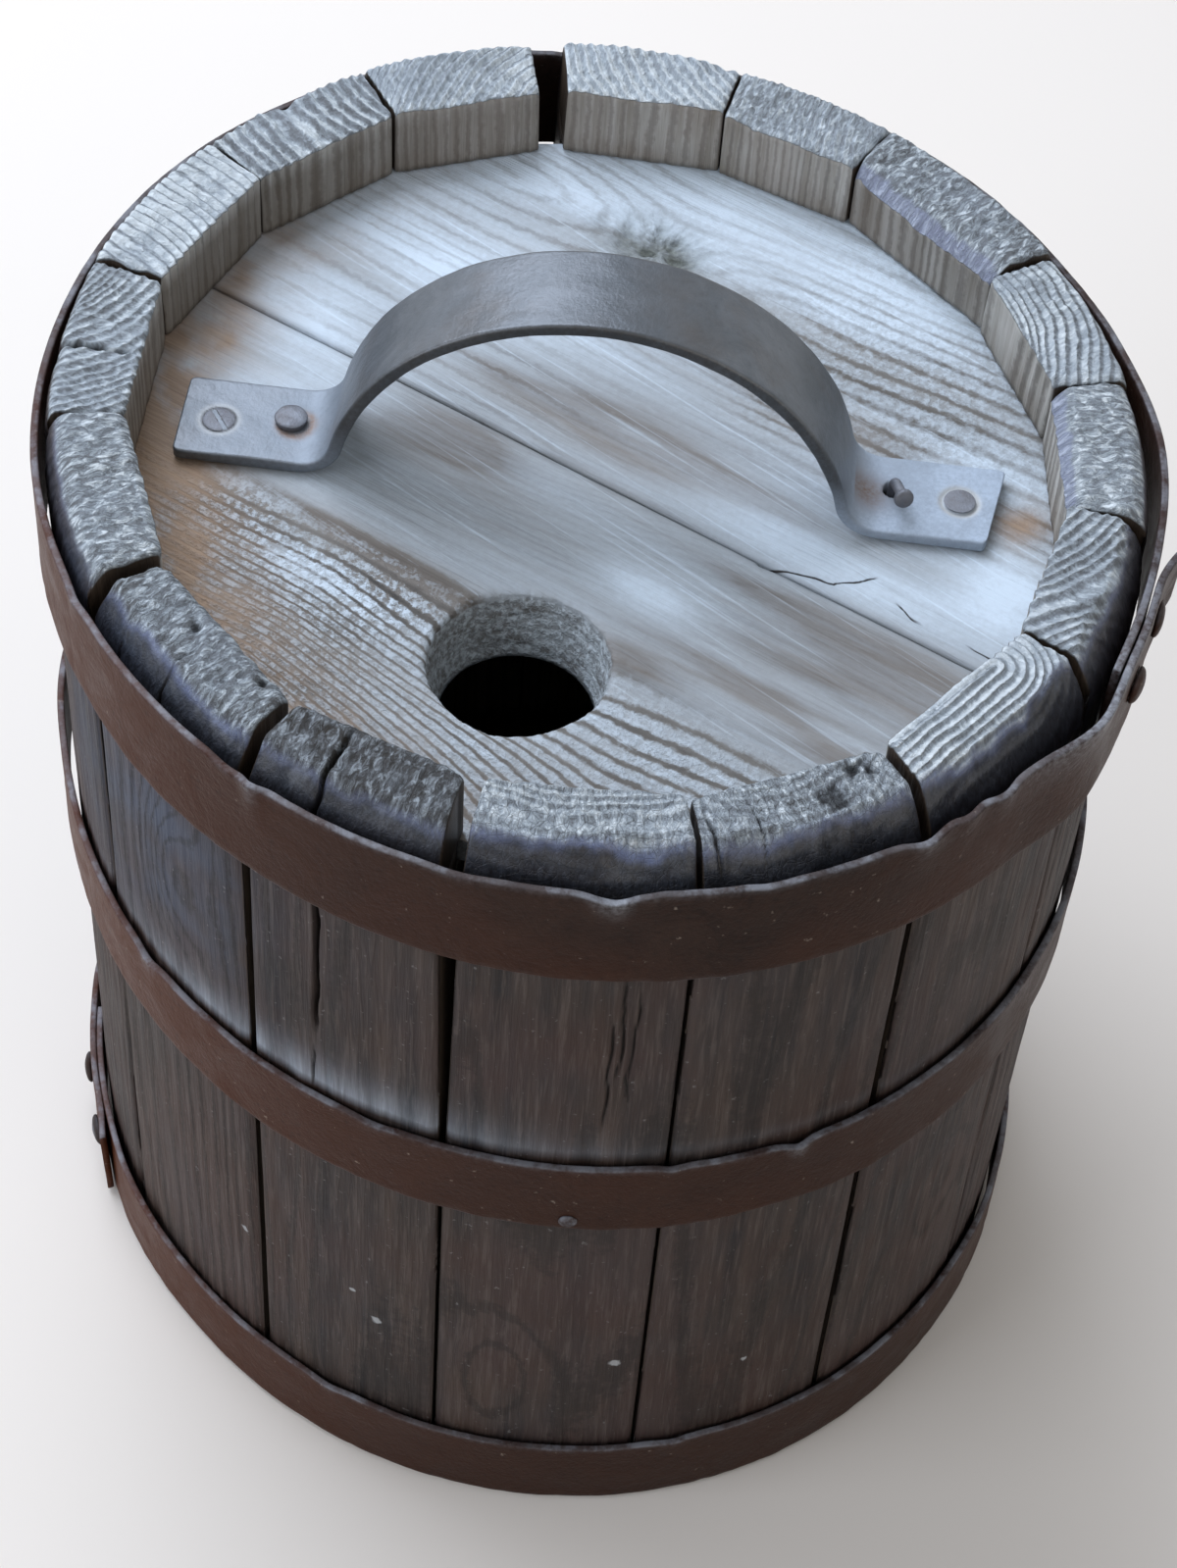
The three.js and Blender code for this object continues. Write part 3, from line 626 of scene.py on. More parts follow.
def crackle_group():
    """Crackle: narrow lines where the cells of a cell noise meet, once coarse and once fine."""
    tree, given = new_group("crackle", Place=None, Size=240.0)

    def lines(size):
        """1 where two cells meet, falling to 0 a little way off."""
        inputs = {"Vector": given["Place"], "Scale": size}
        cells = field(tree, "ShaderNodeTexVoronoi", inputs, "Distance", feature="DISTANCE_TO_EDGE")
        return remap(cells, (0.0, 0.06), (1.0, 0.0))

    return closed_group(tree, Lines=larger(lines(given["Size"]), 0.5 * lines(2.3 * given["Size"])))


WOOD_GRAIN = wood_grain_group()
RING_LINES = ring_lines_group()
DUST = dust_group()
CRACKLE = crackle_group()


def new_finish(name):
    """A material, its Principled shader, the place on its object, and a reader of the mesh's masks."""
    finish = bpy.data.materials.new(name)
    finish.use_nodes = True
    tree = finish.node_tree

    def mask(attribute):
        """One of the mesh's masks by its name."""
        return field(tree, "ShaderNodeAttribute", {}, "Fac", attribute_name=attribute)

    return finish, tree.nodes["Principled BSDF"], field(tree, "ShaderNodeTexCoord", {}, "Object"), mask


def relief(height, strength, depth):
    """A normal that shows fine relief of this depth in metres."""
    inputs = {"Height": height, "Strength": strength, "Distance": depth}
    return field(height.tree, "ShaderNodeBump", inputs)


def stave_finish():
    """Weathered softwood: dark stained sides, grey-brown inner faces and silver end grain."""
    finish, shader, place, mask = new_finish("weathered_stave")
    grain = place_group(WOOD_GRAIN, place, Fineness=1.0)
    ring = place_group(RING_LINES, place, Count=mask("ring_count"))
    strength = mask("ring_strength")
    on_end = mask("on_end")
    polish = mask("polish")
    crossed = {"X": mask("end_along"), "Y": 0.4 * mask("end_out")}
    end_place = field(place.tree, "ShaderNodeCombineXYZ", crossed)
    bristle = mottle(end_place, 0.75, 5.0, 0.7, (0.41, 0.59), distortion=0.6)
    broad = mottle(place, 16.0, 4.0, 0.6, (0.42, 0.62))
    patchy = mottle(place, 70.0, 3.0, 0.6, (0.38, 0.6), (0.45, 1.0))

    side = mix(grain["Streak"], *SIDE_WOOD)
    side = mix(0.6 * broad, side, WINE_STAIN)
    side = mix(remap(grain["Fibre"], (0.5, 0.95), (0.0, 0.5)), side, PALE_FIBRE)
    # Painted sheen: bluish reflected light in patches, faint all round, strongest on the left above the
    # middle hoop.
    sheen_patches = mottle(place, 24.0, 4.0, 0.65, (0.4, 0.6), (0.35, 1.0))
    side = mix(sheen_patches * remap(mask("sky_sheen"), to=(0.08, 0.85)), side, SKY_SHEEN)
    side = mix(0.5 * ring["Line"], side, SIDE_RING)
    side = mix(0.35 * mottle(place, 620.0, 2.0, 0.6, (0.68, 0.76)), side, SIDE_DOT)
    ragged = mottle(place, 500.0, 3.0, 0.6, (0.0, 1.0), (-1.2 * MM, 1.2 * MM))
    for bearing, level, size in SIDE_DAUBS:
        spot = tuple(stood_round(outer_radius(level), 0.0, level, math.radians(bearing)) * MM)
        away = field(place.tree, "ShaderNodeVectorMath", {0: place, 1: spot}, "Value", operation="DISTANCE")
        side = mix(remap(away + ragged, (0.6 * size * MM, size * MM), (0.8, 0.0)), side, SIDE_DAUB)
    side = mix(0.85 * polish, side, mix(grain["Fibre"], *RUBBED_WOOD))
    inner = mix(grain["Streak"], *INNER_WOOD)
    inner = mix(0.5 * (1.0 - ring["Ridge"]), inner, INNER_FURROW)
    inner = mix(0.35 * broad, inner, INNER_STAIN)
    # Painted shade on inner faces, and the brown of one stave's inner face.
    inner = mix(mask("painted_shade_and_brown"), inner, INNER_SHADE_AND_BROWN)
    side = mix(mask("inner_face"), side, inner)
    side = mix(mask("joint_face"), side, mix(grain["Streak"], *JOINT_WOOD))

    ringed = ring["Ridge"] * (strength * patchy)
    bristled = bristle * remap(strength, (0.1, 0.8), (0.55, 0.22))
    end = ramp(0.1 + 0.4 * mask("paleness") + 0.52 * ringed + bristled, END_WOOD)
    # Painted sheen: pale blue over the inner bevels of the deeply chamfered staves.
    end = mix(0.7 * mask("bevel"), end, BEVEL_SHEEN)
    wood = mix(on_end, side, end)
    # Painted highlight: a blue glint along the edge where the rubbed chamfer meets the end.
    glint = mask("glint") * remap(grain["Band"], to=(0.3, 1.0))
    wood = mix(glint, wood, PAINTED_GLINT)
    crack = place_group(CRACKLE, place, Size=430.0)["Lines"] * mask("crackle")
    wood = mix(0.4 * crack, wood, CRACKLE_LINE)
    dust = place_group(DUST, place, Amount=0.35, Patch=45.0)
    settled = dust["Cover"] * remap(on_end, to=(0.25, 1.0))
    lying = mask("ledge") * remap(grain["Streak"], to=(0.55, 1.2)) * remap(grain["Fibre"], to=(0.6, 1.0))
    wood = mix(larger(settled, held(lying)), wood, STAVE_DUST)
    # Painted shade: near black in the open cracks and pits.
    wood = mix(mask("hollow"), wood, CRACK_SHADE)
    height = 1.6 * (ringed * on_end) + (1.8 * bristled * on_end + 0.4 * grain["Fibre"]) - 0.6 * crack
    fill(shader, {
        "Base Color": wood,
        "Roughness": remap(on_end, to=(0.6, 0.85)) - 0.2 * polish,
        "Specular IOR Level": 0.22,
        "Coat Weight": held(0.45 * polish + 0.6 * glint),
        "Coat Roughness": 0.3,
        "Normal": relief(height, strength=0.8, depth=0.7 * MM),
    })
    return finish


stave_wood = stave_finish()
for number in range(1, len(STAVE_ENDS) + 1):
    node = f"stave_{number:02d}"
    shape, shape_masks = stave_surface(number, stave_extent(node), seed=100 * number)
    add_piece(f"weathered_{node}", shape, shape_masks, stave_wood, node)

# Hoops: three strips of thin iron, flared to the cone of the staves and driven on from the rim. Each
# laps over its own beginning and is closed by two rivets. They are rusted brown and bruised along
# their edges, and the end of the upper one is torn and stands off.
CLEARANCE = 0.3
HOOP_THICKNESS = 1.8
HOOP_LAP = 42
HOOP_RAMP = 36
HOOP_CORNER = 0.5
HOOP_ROWS = 760
RIVET_HEAD = 4.4
RIVET_DOME = 2.0
RIVET_SPACING = 20
RIVET_PLAY = 0.2
# The bell of red about this bearing, on the left, is a painted reddish sheen where light falls on the rust.
RED_SHEEN_BEARING = -155
DUSTY_EDGE_BEARING = -30
# Each hoop's lower edge, width, lap angle and torn end, how red its rust is all round, and how dusty its
# upper edge is at the bearing above. Bruises are angles and half widths in degrees, how far the upper
# edge is beaten down and how far outwards; stand-offs leave out the edge.
HOOPS = {
    "upper_hoop": {
        "lift": 239, "width": 29, "lap": -17.5, "torn": 4.0, "rust": 0.05, "dusty": 0.9,
        "bruises": [
            (-86.5, 2.4, 1.4, 1.0), (-83.2, 1.0, -0.5, 0.6), (-122, 1.1, -1.1, 1.6), (-125, 2.0, 0.7, 0.3),
            (-56, 2.2, 1.0, 1.3), (-51, 1.4, 0.3, 0.9), (-46.5, 1.6, 0.8, 1.0), (-101, 3.0, 0.4, 0.3),
            (-72, 1.8, 0.5, 0.2), (-150, 2.0, 0.7, 0.5), (150, 2.0, 1.0, 0.6), (95, 3.0, 1.0, 0.2),
            (40, 3.0, 0.8, 0.6), (-33, 5.0, -0.4, 1.4),
        ],
        "stand_offs": [(4, 12, 2.2), (-35, 7, 0.8), (-165, 12, 0.6)],
    },
    "middle_hoop": {
        "lift": 140, "width": 25, "lap": 75, "torn": 1.0, "rust": 0.22, "dusty": 0.2,
        "bruises": [
            (-64.5, 1.6, 1.0, 0.8), (-78, 1.3, 0.7, 0.4), (-109, 2.0, 0.5, 0.3), (-140, 2.0, 0.8, 0.4),
            (30, 3.0, 0.8, 0.4), (140, 3.0, 0.8, 0.4),
        ],
        "stand_offs": [(178, 11, 2.6), (20, 10, 0.8)],
    },
    "lower_hoop": {
        "lift": 1.5, "width": 26.5, "lap": 194, "torn": 1.5, "rust": 0.2, "dusty": 0,
        "bruises": [(-74, 2.0, 0.7, 0.4), (-115, 2.4, 0.6, 0.4), (60, 3.0, 0.8, 0.4)],
        "stand_offs": [(-150, 9, 0.9), (-20, 10, 0.6)],
    },
}
HOOP_IRON = ("1f1917", "2e2521")
RED_RUST_AND_SHEEN = "4c2817"
RUST_GRAIN = "5c3e30"
RUST_PIT = "1f1817"
RUST_FLECK = "9a8c80"
RUBBED_EDGE_HIGHLIGHT = "8b8e95"
HOOP_DUST = "a4a8ae"


def bar_section(width, thickness, corner, steps):
    """A flat bar's section: a rectangle with quarter circles for corners and even steps on its faces."""
    turn = np.linspace(0, math.pi / 2, 4)
    face = np.linspace(width / 2 - corner, corner - width / 2, steps)[1:-1]
    bend = joined(np.cos(turn), np.sin(turn)) * corner
    core = np.array([width / 2 - corner, thickness / 2 - corner])
    top = joined(face, np.full_like(face, thickness / 2))
    half = np.concatenate([bend + core, top, bend[::-1] * (-1, 1) + core * (-1, 1)])
    return np.concatenate([half, half[::-1] * (1, -1)])


def hoop_surface(hoop, seed):
    """Points and masks of a lapped strip: its section carried once round the cone and on over its start.

    The radius is the cone's at each height, plus a climb over the lap, a spiral step eased in along a
    ramp, plus stand-offs, bruises and hammer noise. Bells of the angle beat the upper edge down and
    out. The last stretch bends away and its end is torn along a ragged line. Both ends close to a line."""
    middle = hoop["lift"] + hoop["width"] / 2
    inner = outer_radius(middle) + CLEARANCE
    lap_angle = HOOP_LAP / inner
    total = 2 * math.pi + lap_angle
    turn = np.linspace(0, total, HOOP_ROWS)
    turn = np.concatenate([turn[:1], turn, turn[-1:]])[:, None]
    across, through = bar_section(hoop["width"], HOOP_THICKNESS, HOOP_CORNER, 22).T
    open_end = np.ones_like(turn)
    open_end[[0, -1]] = 0
    share = across / hoop["width"] + 0.5
    ragged = 3.5 * rough(joined(share * 5, 0.0), seed) + 2.5 * share
    from_end = (total - turn) * inner
    turn = turn - rising(from_end, 12, 0) * hoop["torn"] / 5 * np.clip(ragged, 0, 9) / inner
    angle = math.radians(hoop["lap"]) - lap_angle / 2 + turn
    degrees = np.degrees(angle)
    on_lap = rising(turn, 2 * math.pi - HOOP_RAMP / inner, 2 * math.pi - math.radians(5))
    climb = (HOOP_THICKNESS + CLEARANCE) * eased(on_lap)
    upper = rising(share, 0.45, 1) ** 2
    lower = rising(share, 0.3, 0) ** 2
    arc = angle * inner
    place = joined(arc / 16, across / 11)
    long_place = joined(arc / 45, 0.0)
    edge_place = joined(arc / 6, 0.0)
    out = climb + 0.2 + 0.09 * rough(place, seed + 1, 2) + 0.3 * np.abs(noise(long_place, seed + 2))
    out = out + lower * 0.2 * np.abs(noise(edge_place, seed + 3))
    beaten = (0.25 * noise(long_place * 2, seed + 4) + 0.07 * rough(edge_place * 2, seed + 7)) * upper
    for place_angle, half, drop, bend in hoop["bruises"]:
        near = bump_at(wrapped(degrees - place_angle), half)
        ragged_near = near * (1 + 0.35 * noise(edge_place * 2.2, seed + 5))
        beaten = beaten + drop * ragged_near * upper
        out = out + bend * near * upper
    for place_angle, half, gap in hoop["stand_offs"]:
        out = out + gap * bump_at(wrapped(degrees - place_angle), half)
    peel = rising(from_end, 16, 0) ** 2
    out = out + hoop["torn"] * peel * (0.35 + 0.65 * share)
    z = middle + across - beaten + lower * 0.12 * noise(edge_place, seed + 6)
    radius = inner + outer_radius(z) - outer_radius(middle) + out
    radius = radius + HOOP_THICKNESS / 2 + through * open_end
    dusty = hoop["dusty"] * bump_at(wrapped(degrees - DUSTY_EDGE_BEARING), 13)
    masks = {
        "edge": bump_at(hoop["width"] / 2 - np.abs(across), 0.3),
        "bruise": np.clip(np.abs(beaten) * 0.6 - 0.2, 0, 1) * (share > 0.5) + dusty * upper,
        "rust_and_sheen": hoop["rust"] + 0.75 * bump_at(wrapped(degrees - RED_SHEEN_BEARING), 38),
        "upper_lip": bump_at(1 - share, 0.03),
    }
    return stood_round(radius, 0.0, z, angle), masks


def full_turn(count):
    """Angles in even steps once round."""
    return np.linspace(0, 2 * math.pi, count, endpoint=False)


def turned_surface(radii, heights, columns, wobble, seed):
    """An outline of radii and heights turned about Z, its radius and height uneven by hammer noise."""
    angle = full_turn(columns)
    radii = np.asarray(radii, float)[:, None]
    heights = np.asarray(heights, float)[:, None]
    place = joined(radii * np.cos(angle), radii * np.sin(angle), heights)
    swell = 1 + wobble * noise(place / 2.4 + 7.3, seed)
    return place * joined(swell, swell, 1 + wobble * noise(place / 1.9, seed + 1))


def domed_head(radius, height, columns, wobble, seed, upright=0.2):
    """A round head: a flat base, an upright edge of a share of the height, and a quarter ellipse over it."""
    turn = np.linspace(0, math.pi / 2, 10)
    edge = upright * height
    radii = np.concatenate([[0, 0.5 * radius, 0.95 * radius], radius * np.cos(turn)])
    heights = np.concatenate([[0, 0, 0], edge + (height - edge) * np.sin(turn)])
    return turned_surface(radii, heights, columns, wobble, seed)


def facing_out(dome, seat, level, angle):
    """A dome laid over to look out from the cask, its base at a distance from the axis."""
    return stood_round(seat + dome[..., 2], dome[..., 0], level + dome[..., 1], angle)


def rust_group():
    """Rust: a broad mottle of thick and thin, a fine grain, and pits where a cell noise dips low."""
    tree, given = new_group("rust", Place=None, Size=1.0)
    place = given["Place"]
    cells = {"Vector": place, "Scale": 330.0 * given["Size"]}
    dips = field(tree, "ShaderNodeTexVoronoi", cells, "Distance")
    return closed_group(
        tree,
        Thick=mottle(place, 60.0 * given["Size"], 6.0, 0.7, (0.38, 0.66), distortion=0.6),
        Grain=mottle(place, 700.0 * given["Size"], 3.0, 0.7, (0.3, 0.7)),
        Pits=remap(dips, (0.05, 0.3), (1.0, 0.0)),
    )


RUST = rust_group()


def hoop_finish():
    """Thin iron under smooth brown rust, its edges rubbed bright with a painted highlight, dusty on its
    upper lip.
    """
    finish, shader, place, mask = new_finish("rusty_hoop")
    rust = place_group(RUST, place, Size=1.0)
    iron = mix(rust["Thick"], *HOOP_IRON)
    redder = mottle(place, 9.0, 3.0, 0.5, (0.45, 0.6))
    # Red of the rust all round, and a painted reddish sheen round the bearing on the left.
    iron = mix(larger(0.3 * redder, mask("rust_and_sheen")), iron, RED_RUST_AND_SHEEN)
    iron = mix(0.12 * rust["Grain"], iron, RUST_GRAIN)
    iron = mix(0.35 * rust["Pits"], iron, RUST_PIT)
    iron = mix(0.5 * mottle(place, 420.0, 3.0, 0.6, (0.68, 0.76)), iron, RUST_FLECK)
    # Rubbed bright iron and a painted highlight along the edges, and on the tops of rivets and the nail
    # head.
    rubbed = mask("edge") * mottle(place, 90.0, 5.0, 0.7, (0.46, 0.6))
    iron = mix(0.5 * rubbed, iron, RUBBED_EDGE_HIGHLIGHT)
    dust = place_group(DUST, place, Amount=0.3, Patch=60.0)
    lip = 0.12 * mask("upper_lip") + 0.6 * mask("bruise")
    iron = mix(larger(dust["Cover"], lip * rust["Grain"]), iron, HOOP_DUST)
    fill(shader, {
        "Base Color": iron,
        "Roughness": remap(rust["Thick"], to=(0.36, 0.52)),
        "Metallic": 0.08,
        "Specular IOR Level": 0.05,
        "Normal": relief(rust["Grain"] + 2.0 * rust["Thick"], strength=0.2, depth=0.4 * MM),
    })
    return finish


hoop_iron = hoop_finish()
for number, (node, hoop) in enumerate(HOOPS.items(), 1):
    shape, shape_masks = hoop_surface(hoop, seed=2000 + 50 * number)
    add_piece(f"rusty_{node}", shape, shape_masks, hoop_iron, node)
    level = hoop["lift"] + hoop["width"] / 2
    inner = outer_radius(level) + CLEARANCE
    seat = inner + 2 * HOOP_THICKNESS + 2 * CLEARANCE + RIVET_PLAY
    for side, name in ((-1, f"{node}_rivet_1"), (1, f"{node}_rivet_2")):
        angle = math.radians(hoop["lap"]) + side * RIVET_SPACING / 2 / inner
        dome = domed_head(RIVET_HEAD, RIVET_DOME, columns=48, wobble=0.06, seed=2200 + 2 * number + side)
        # The dome's top takes the edge's rubbed wear and painted highlight.
        dome_masks = {"edge": bump_at(RIVET_DOME - dome[..., 2], 0.3)}
        rivet = facing_out(dome, seat, level, angle)
        add_piece(f"domed_{name}", rivet, dome_masks, hoop_iron, name)

# Middle hoop nail: one small nail, driven through the hoop's lower edge at the front into a stave to
# keep the hoop from slipping. Only its low head shows.
HOOP_NAIL_ANGLE = math.radians(-88.3)
HOOP_NAIL_LEVEL = 143.5
HOOP_NAIL_RADIUS = 2.2
HOOP_NAIL_DOME = 1.1
HOOP_NAIL_PLAY = 0.4
nail_head = domed_head(HOOP_NAIL_RADIUS, HOOP_NAIL_DOME, columns=32, wobble=0.08, seed=2300)
nail_seat = outer_radius(HOOP_NAIL_LEVEL) + CLEARANCE + HOOP_THICKNESS + HOOP_NAIL_PLAY
nail_points = facing_out(nail_head, nail_seat, HOOP_NAIL_LEVEL, HOOP_NAIL_ANGLE)
add_piece("hoop_nail_head", nail_points, {"edge": 1.0}, hoop_iron, None)

# Upper head: two wide softwood boards with a dowelled joint, their bevelled edge held in the croze of
# the staves. The nearer one has the bung hole, reamed to a taper. The top is worn into ridges along
# the grain, greyed by weather, and dust lies thick against the far wall.
HEAD_LEVEL = CASK_HEIGHT - 20
HEAD_UNDER = HEAD_LEVEL - 19
TONGUE_UNDER = HEAD_LEVEL - 7
HEAD_BEVEL = 12
HEAD_WALL = outer_radius(HEAD_LEVEL) - STAVE_THICKNESS - CLEARANCE
HEAD_EDGE = HEAD_WALL + CROZE_DEPTH
BOARD_JOINT = 0.3
JOINT_ANGLE = math.radians(-29.7)
JOINT_OFFSET = -2.7
BUNG_RADIUS = 20
BUNG_TAPER = 2.5
BUNG_PLACE = np.array([-13.45, -59.2])
KNOT_PLACE = np.array([10.9, 76.3])
FOOT_STAIN_AND_SHADOW = np.array([96.5, -7])
DIRT_BEARING = 190
DRIFT_BEARING = 92
BOARD_COLUMNS = 640
BOARD_ROWS = 118
UNDER_ROWS = 8
BORE_ROWS = 18
GRAIN_WAY = np.array([math.cos(JOINT_ANGLE), math.sin(JOINT_ANGLE)])
GRAIN_ACROSS = np.array([-math.sin(JOINT_ANGLE), math.cos(JOINT_ANGLE)])
# Places on the head, with half sizes along the grain and across it: brown bare wood, the first three of
# which, beside the feet, also paint the handle's shadow, and thick dust.
HEAD_STAINS_AND_SHADOWS = [
    (-40, 4, 20, 8), (-30, 6, 12, 5), (97, -7, 9, 5), (-38, -40, 24, 5), (10, -56, 14, 3.5),
    (36, -60, 30, 2.5), (44, -68, 34, 3), (56, -44, 30, 2.5), (58, 18, 34, 5), (20, 44, 30, 3),
    (-10, 20, 34, 3), (34, -3, 40, 3), (62, -84, 22, 3), (-55, -25, 26, 3), (64, -56, 34, 14),
    (8, 10, 30, 10),
]
HEAD_PALE = [
    (14, -36, 13, 6), (0, 94, 60, 10), (-74, 42, 20, 12), (-72, 10, 24, 13), (84, 3, 16, 12),
    (66, 60, 20, 11), (-30, 60, 40, 14), (92, -30, 12, 10), (50, -22, 30, 9), (-60, -38, 20, 5),
]
# Short open cracks in the head, each from one point to another.
HEAD_CRACKS = [
    ((38, -25.5), (55, -29.5)), ((55, -29.5), (63, -27.5)), ((69, -35), (73, -38.5)), ((86, -46), (90, -49)),
]
HEAD_WOOD = ("605c56", "898783")
HEAD_DIRT = ("836a53", "a48c75")
KNOT_MOSS = ("2d2f28", "6f736a")
BORE_WOOD = ("676663", "d6e0e6")
HEAD_BROWN = "685a50"
HEAD_RING = "4a423d"
HEAD_VALLEY = "3f3d3b"
HEAD_DUST = "cad6e0"
HEAD_CRACK_SHADE = "2b2826"


def along_grain(places):
    """Places on the head as distances along the grain and across it."""
    return places @ GRAIN_WAY, places @ GRAIN_ACROSS


def crack_line(places):
    """How far each place lies to one side of the nearest crack, and 1 beside it, 0 past its ends."""
    nearest = np.full(places.shape[:-1], 99.0)
    side = nearest.copy()
    run = np.zeros_like(nearest)
    for start, end in np.array(HEAD_CRACKS, float):
        length = np.linalg.norm(end - start)
        way = (end - start) / length
        along = (places - start) @ way
        aside = (places - start) @ np.array([-way[1], way[0]])
        past = np.maximum(np.maximum(-along, along - length), 0)
        closer = np.hypot(aside, past) < nearest
        nearest = np.where(closer, np.hypot(aside, past), nearest)
        side = np.where(closer, aside, side)
        run = np.where(closer, np.clip(1.2 - past, 0, 1), run)
    return np.clip(side, -3, 3), run


def patches_at(places, patches):
    """Sum of bells over patches, each stretched along the grain and across it."""
    along, across = along_grain(places)
    total = np.zeros_like(along)
    for x, y, long, wide in patches:
        patch_along, patch_across = along_grain(np.array([x, y]))
        total = total + bump_at(np.hypot((along - patch_along) / long, (across - patch_across) / wide), 1)
    return total


def head_relief(places, seed):
    """Height of the head's top about its level, and masks, at places in millimetres.

    Growth rings meet a flat board as lines along the grain: the distance across it, bent by drawn-out
    noise and pushed aside by the knot, is counted in ring spacings. They stand up most where weather
    or feet wore the board. The knot and the cracks are bells that dip, and fine fibres lie along the
    grain."""
    along, across = along_grain(places)
    knot_along, knot_across = along_grain(KNOT_PLACE)
    # Rings are wide apart on the back board, and fan out to the right on the front one.
    aside = 13 * bump_at(along - knot_along, 30)
    shifted = across - knot_across
    bent = np.sign(shifted) * np.sqrt(shifted**2 + aside**2) + knot_across
    bent = bent + 5 * noise(joined(along / 110, across / 34), seed)
    bent = bent + 0.8 * noise(joined(along / 30, across / 9), seed + 1)
    on_back = across > JOINT_OFFSET
    uneven = joined(bent / np.where(on_back, 16, 9), 0.0)
    bent = bent + noise(uneven, seed + 2) * np.where(on_back, 3, 2)
    fanned = (bent + 50) * (1 - 0.45 * rising(along, -30, 50)) / 2.5
    count = np.where(on_back, bent / 4.8, fanned)
    worn_front = rising(-across, 46, 58) * (0.6 + 0.4 * rising(along, 10, -30))
    worn_back = rising(across, 22, 42) * np.clip((along + 10) / 40, 0.3, 1)
    worn = 0.03 + 0.97 * np.maximum(worn_front, 0.3 * worn_back)
    worn = np.clip(worn * (0.85 + 0.4 * noise(places / 20, seed + 3)), 0, 1)
    fibre = rough(joined(along / 12, across / 1.4), seed + 4, 3)
    height = -0.6 * worn * (1 - crest(count)) + 0.07 * fibre + 0.25 * noise(places / 60, seed + 5) - 0.3
    torn = 1 + 0.5 * rough(places / 4, seed + 6)
    knot = bump_at(np.hypot((along - knot_along) / 12, (across - knot_across) / 8), 1) * torn
    crack_side, crack_run = crack_line(places + 0.6 * noise(places / 3, seed + 8)[..., None])
    height = height - 3.0 * knot - 0.5 * crack_run * bump_at(crack_side, 0.9)

    # Stains and dust lie in streaks along the grain, dirt and drifts against the wall. Brown beside the feet
    # is partly painted shadow of the handle.
    wander = 1 + 0.6 * rough(joined(along / 30, across / 5), seed + 7)
    to_wall = np.clip(HEAD_WALL - np.linalg.norm(places @ BACK_TO_ROUND, axis=-1), 0, None)
    bearing = np.degrees(np.arctan2(places[..., 1], places[..., 0]))
    dirt = bump_at(to_wall, 17) * bump_at(wrapped(bearing - DIRT_BEARING), 50)
    drifted = bump_at(to_wall, 15) * bump_at(wrapped(bearing - DRIFT_BEARING), 62)
    # Brown beside the right foot's end, partly a painted shadow of the foot.
    beside_foot = bump_at(np.linalg.norm(places - FOOT_STAIN_AND_SHADOW, axis=-1), 6)
    lined = np.where(on_back, 0.08 + 0.5 * rising(along, 0, -40), 0.04)
    masks = {
        "ring_count": count,
        "lined": np.clip(lined + 0.5 * worn, 0, 1),
        "worn": worn,
        "bristly": np.where(on_back, 0.8, np.clip((15 - along) / 30, 0.15, 1)),
        "stain_and_shadow": np.clip(patches_at(places, HEAD_STAINS_AND_SHADOWS) * wander, 0, 1),
        "dirt": np.clip((1.3 * dirt + 0.9 * beside_foot) * (1 + 0.5 * rough(places / 8, seed + 9)), 0, 1),
        "pale": np.clip((patches_at(places, HEAD_PALE) + drifted) * (0.5 + 0.5 * wander), 0, 1),
        "knot": np.clip(knot, 0, 1),
        "hollow": 0.35 * bump_at(across - JOINT_OFFSET, 1.1 + 0.6 * noise(places / 9, seed + 10)),
        "crack_side": crack_side,
        "crack_run": crack_run,
        "bore": np.zeros_like(height),
    }
    return height, masks


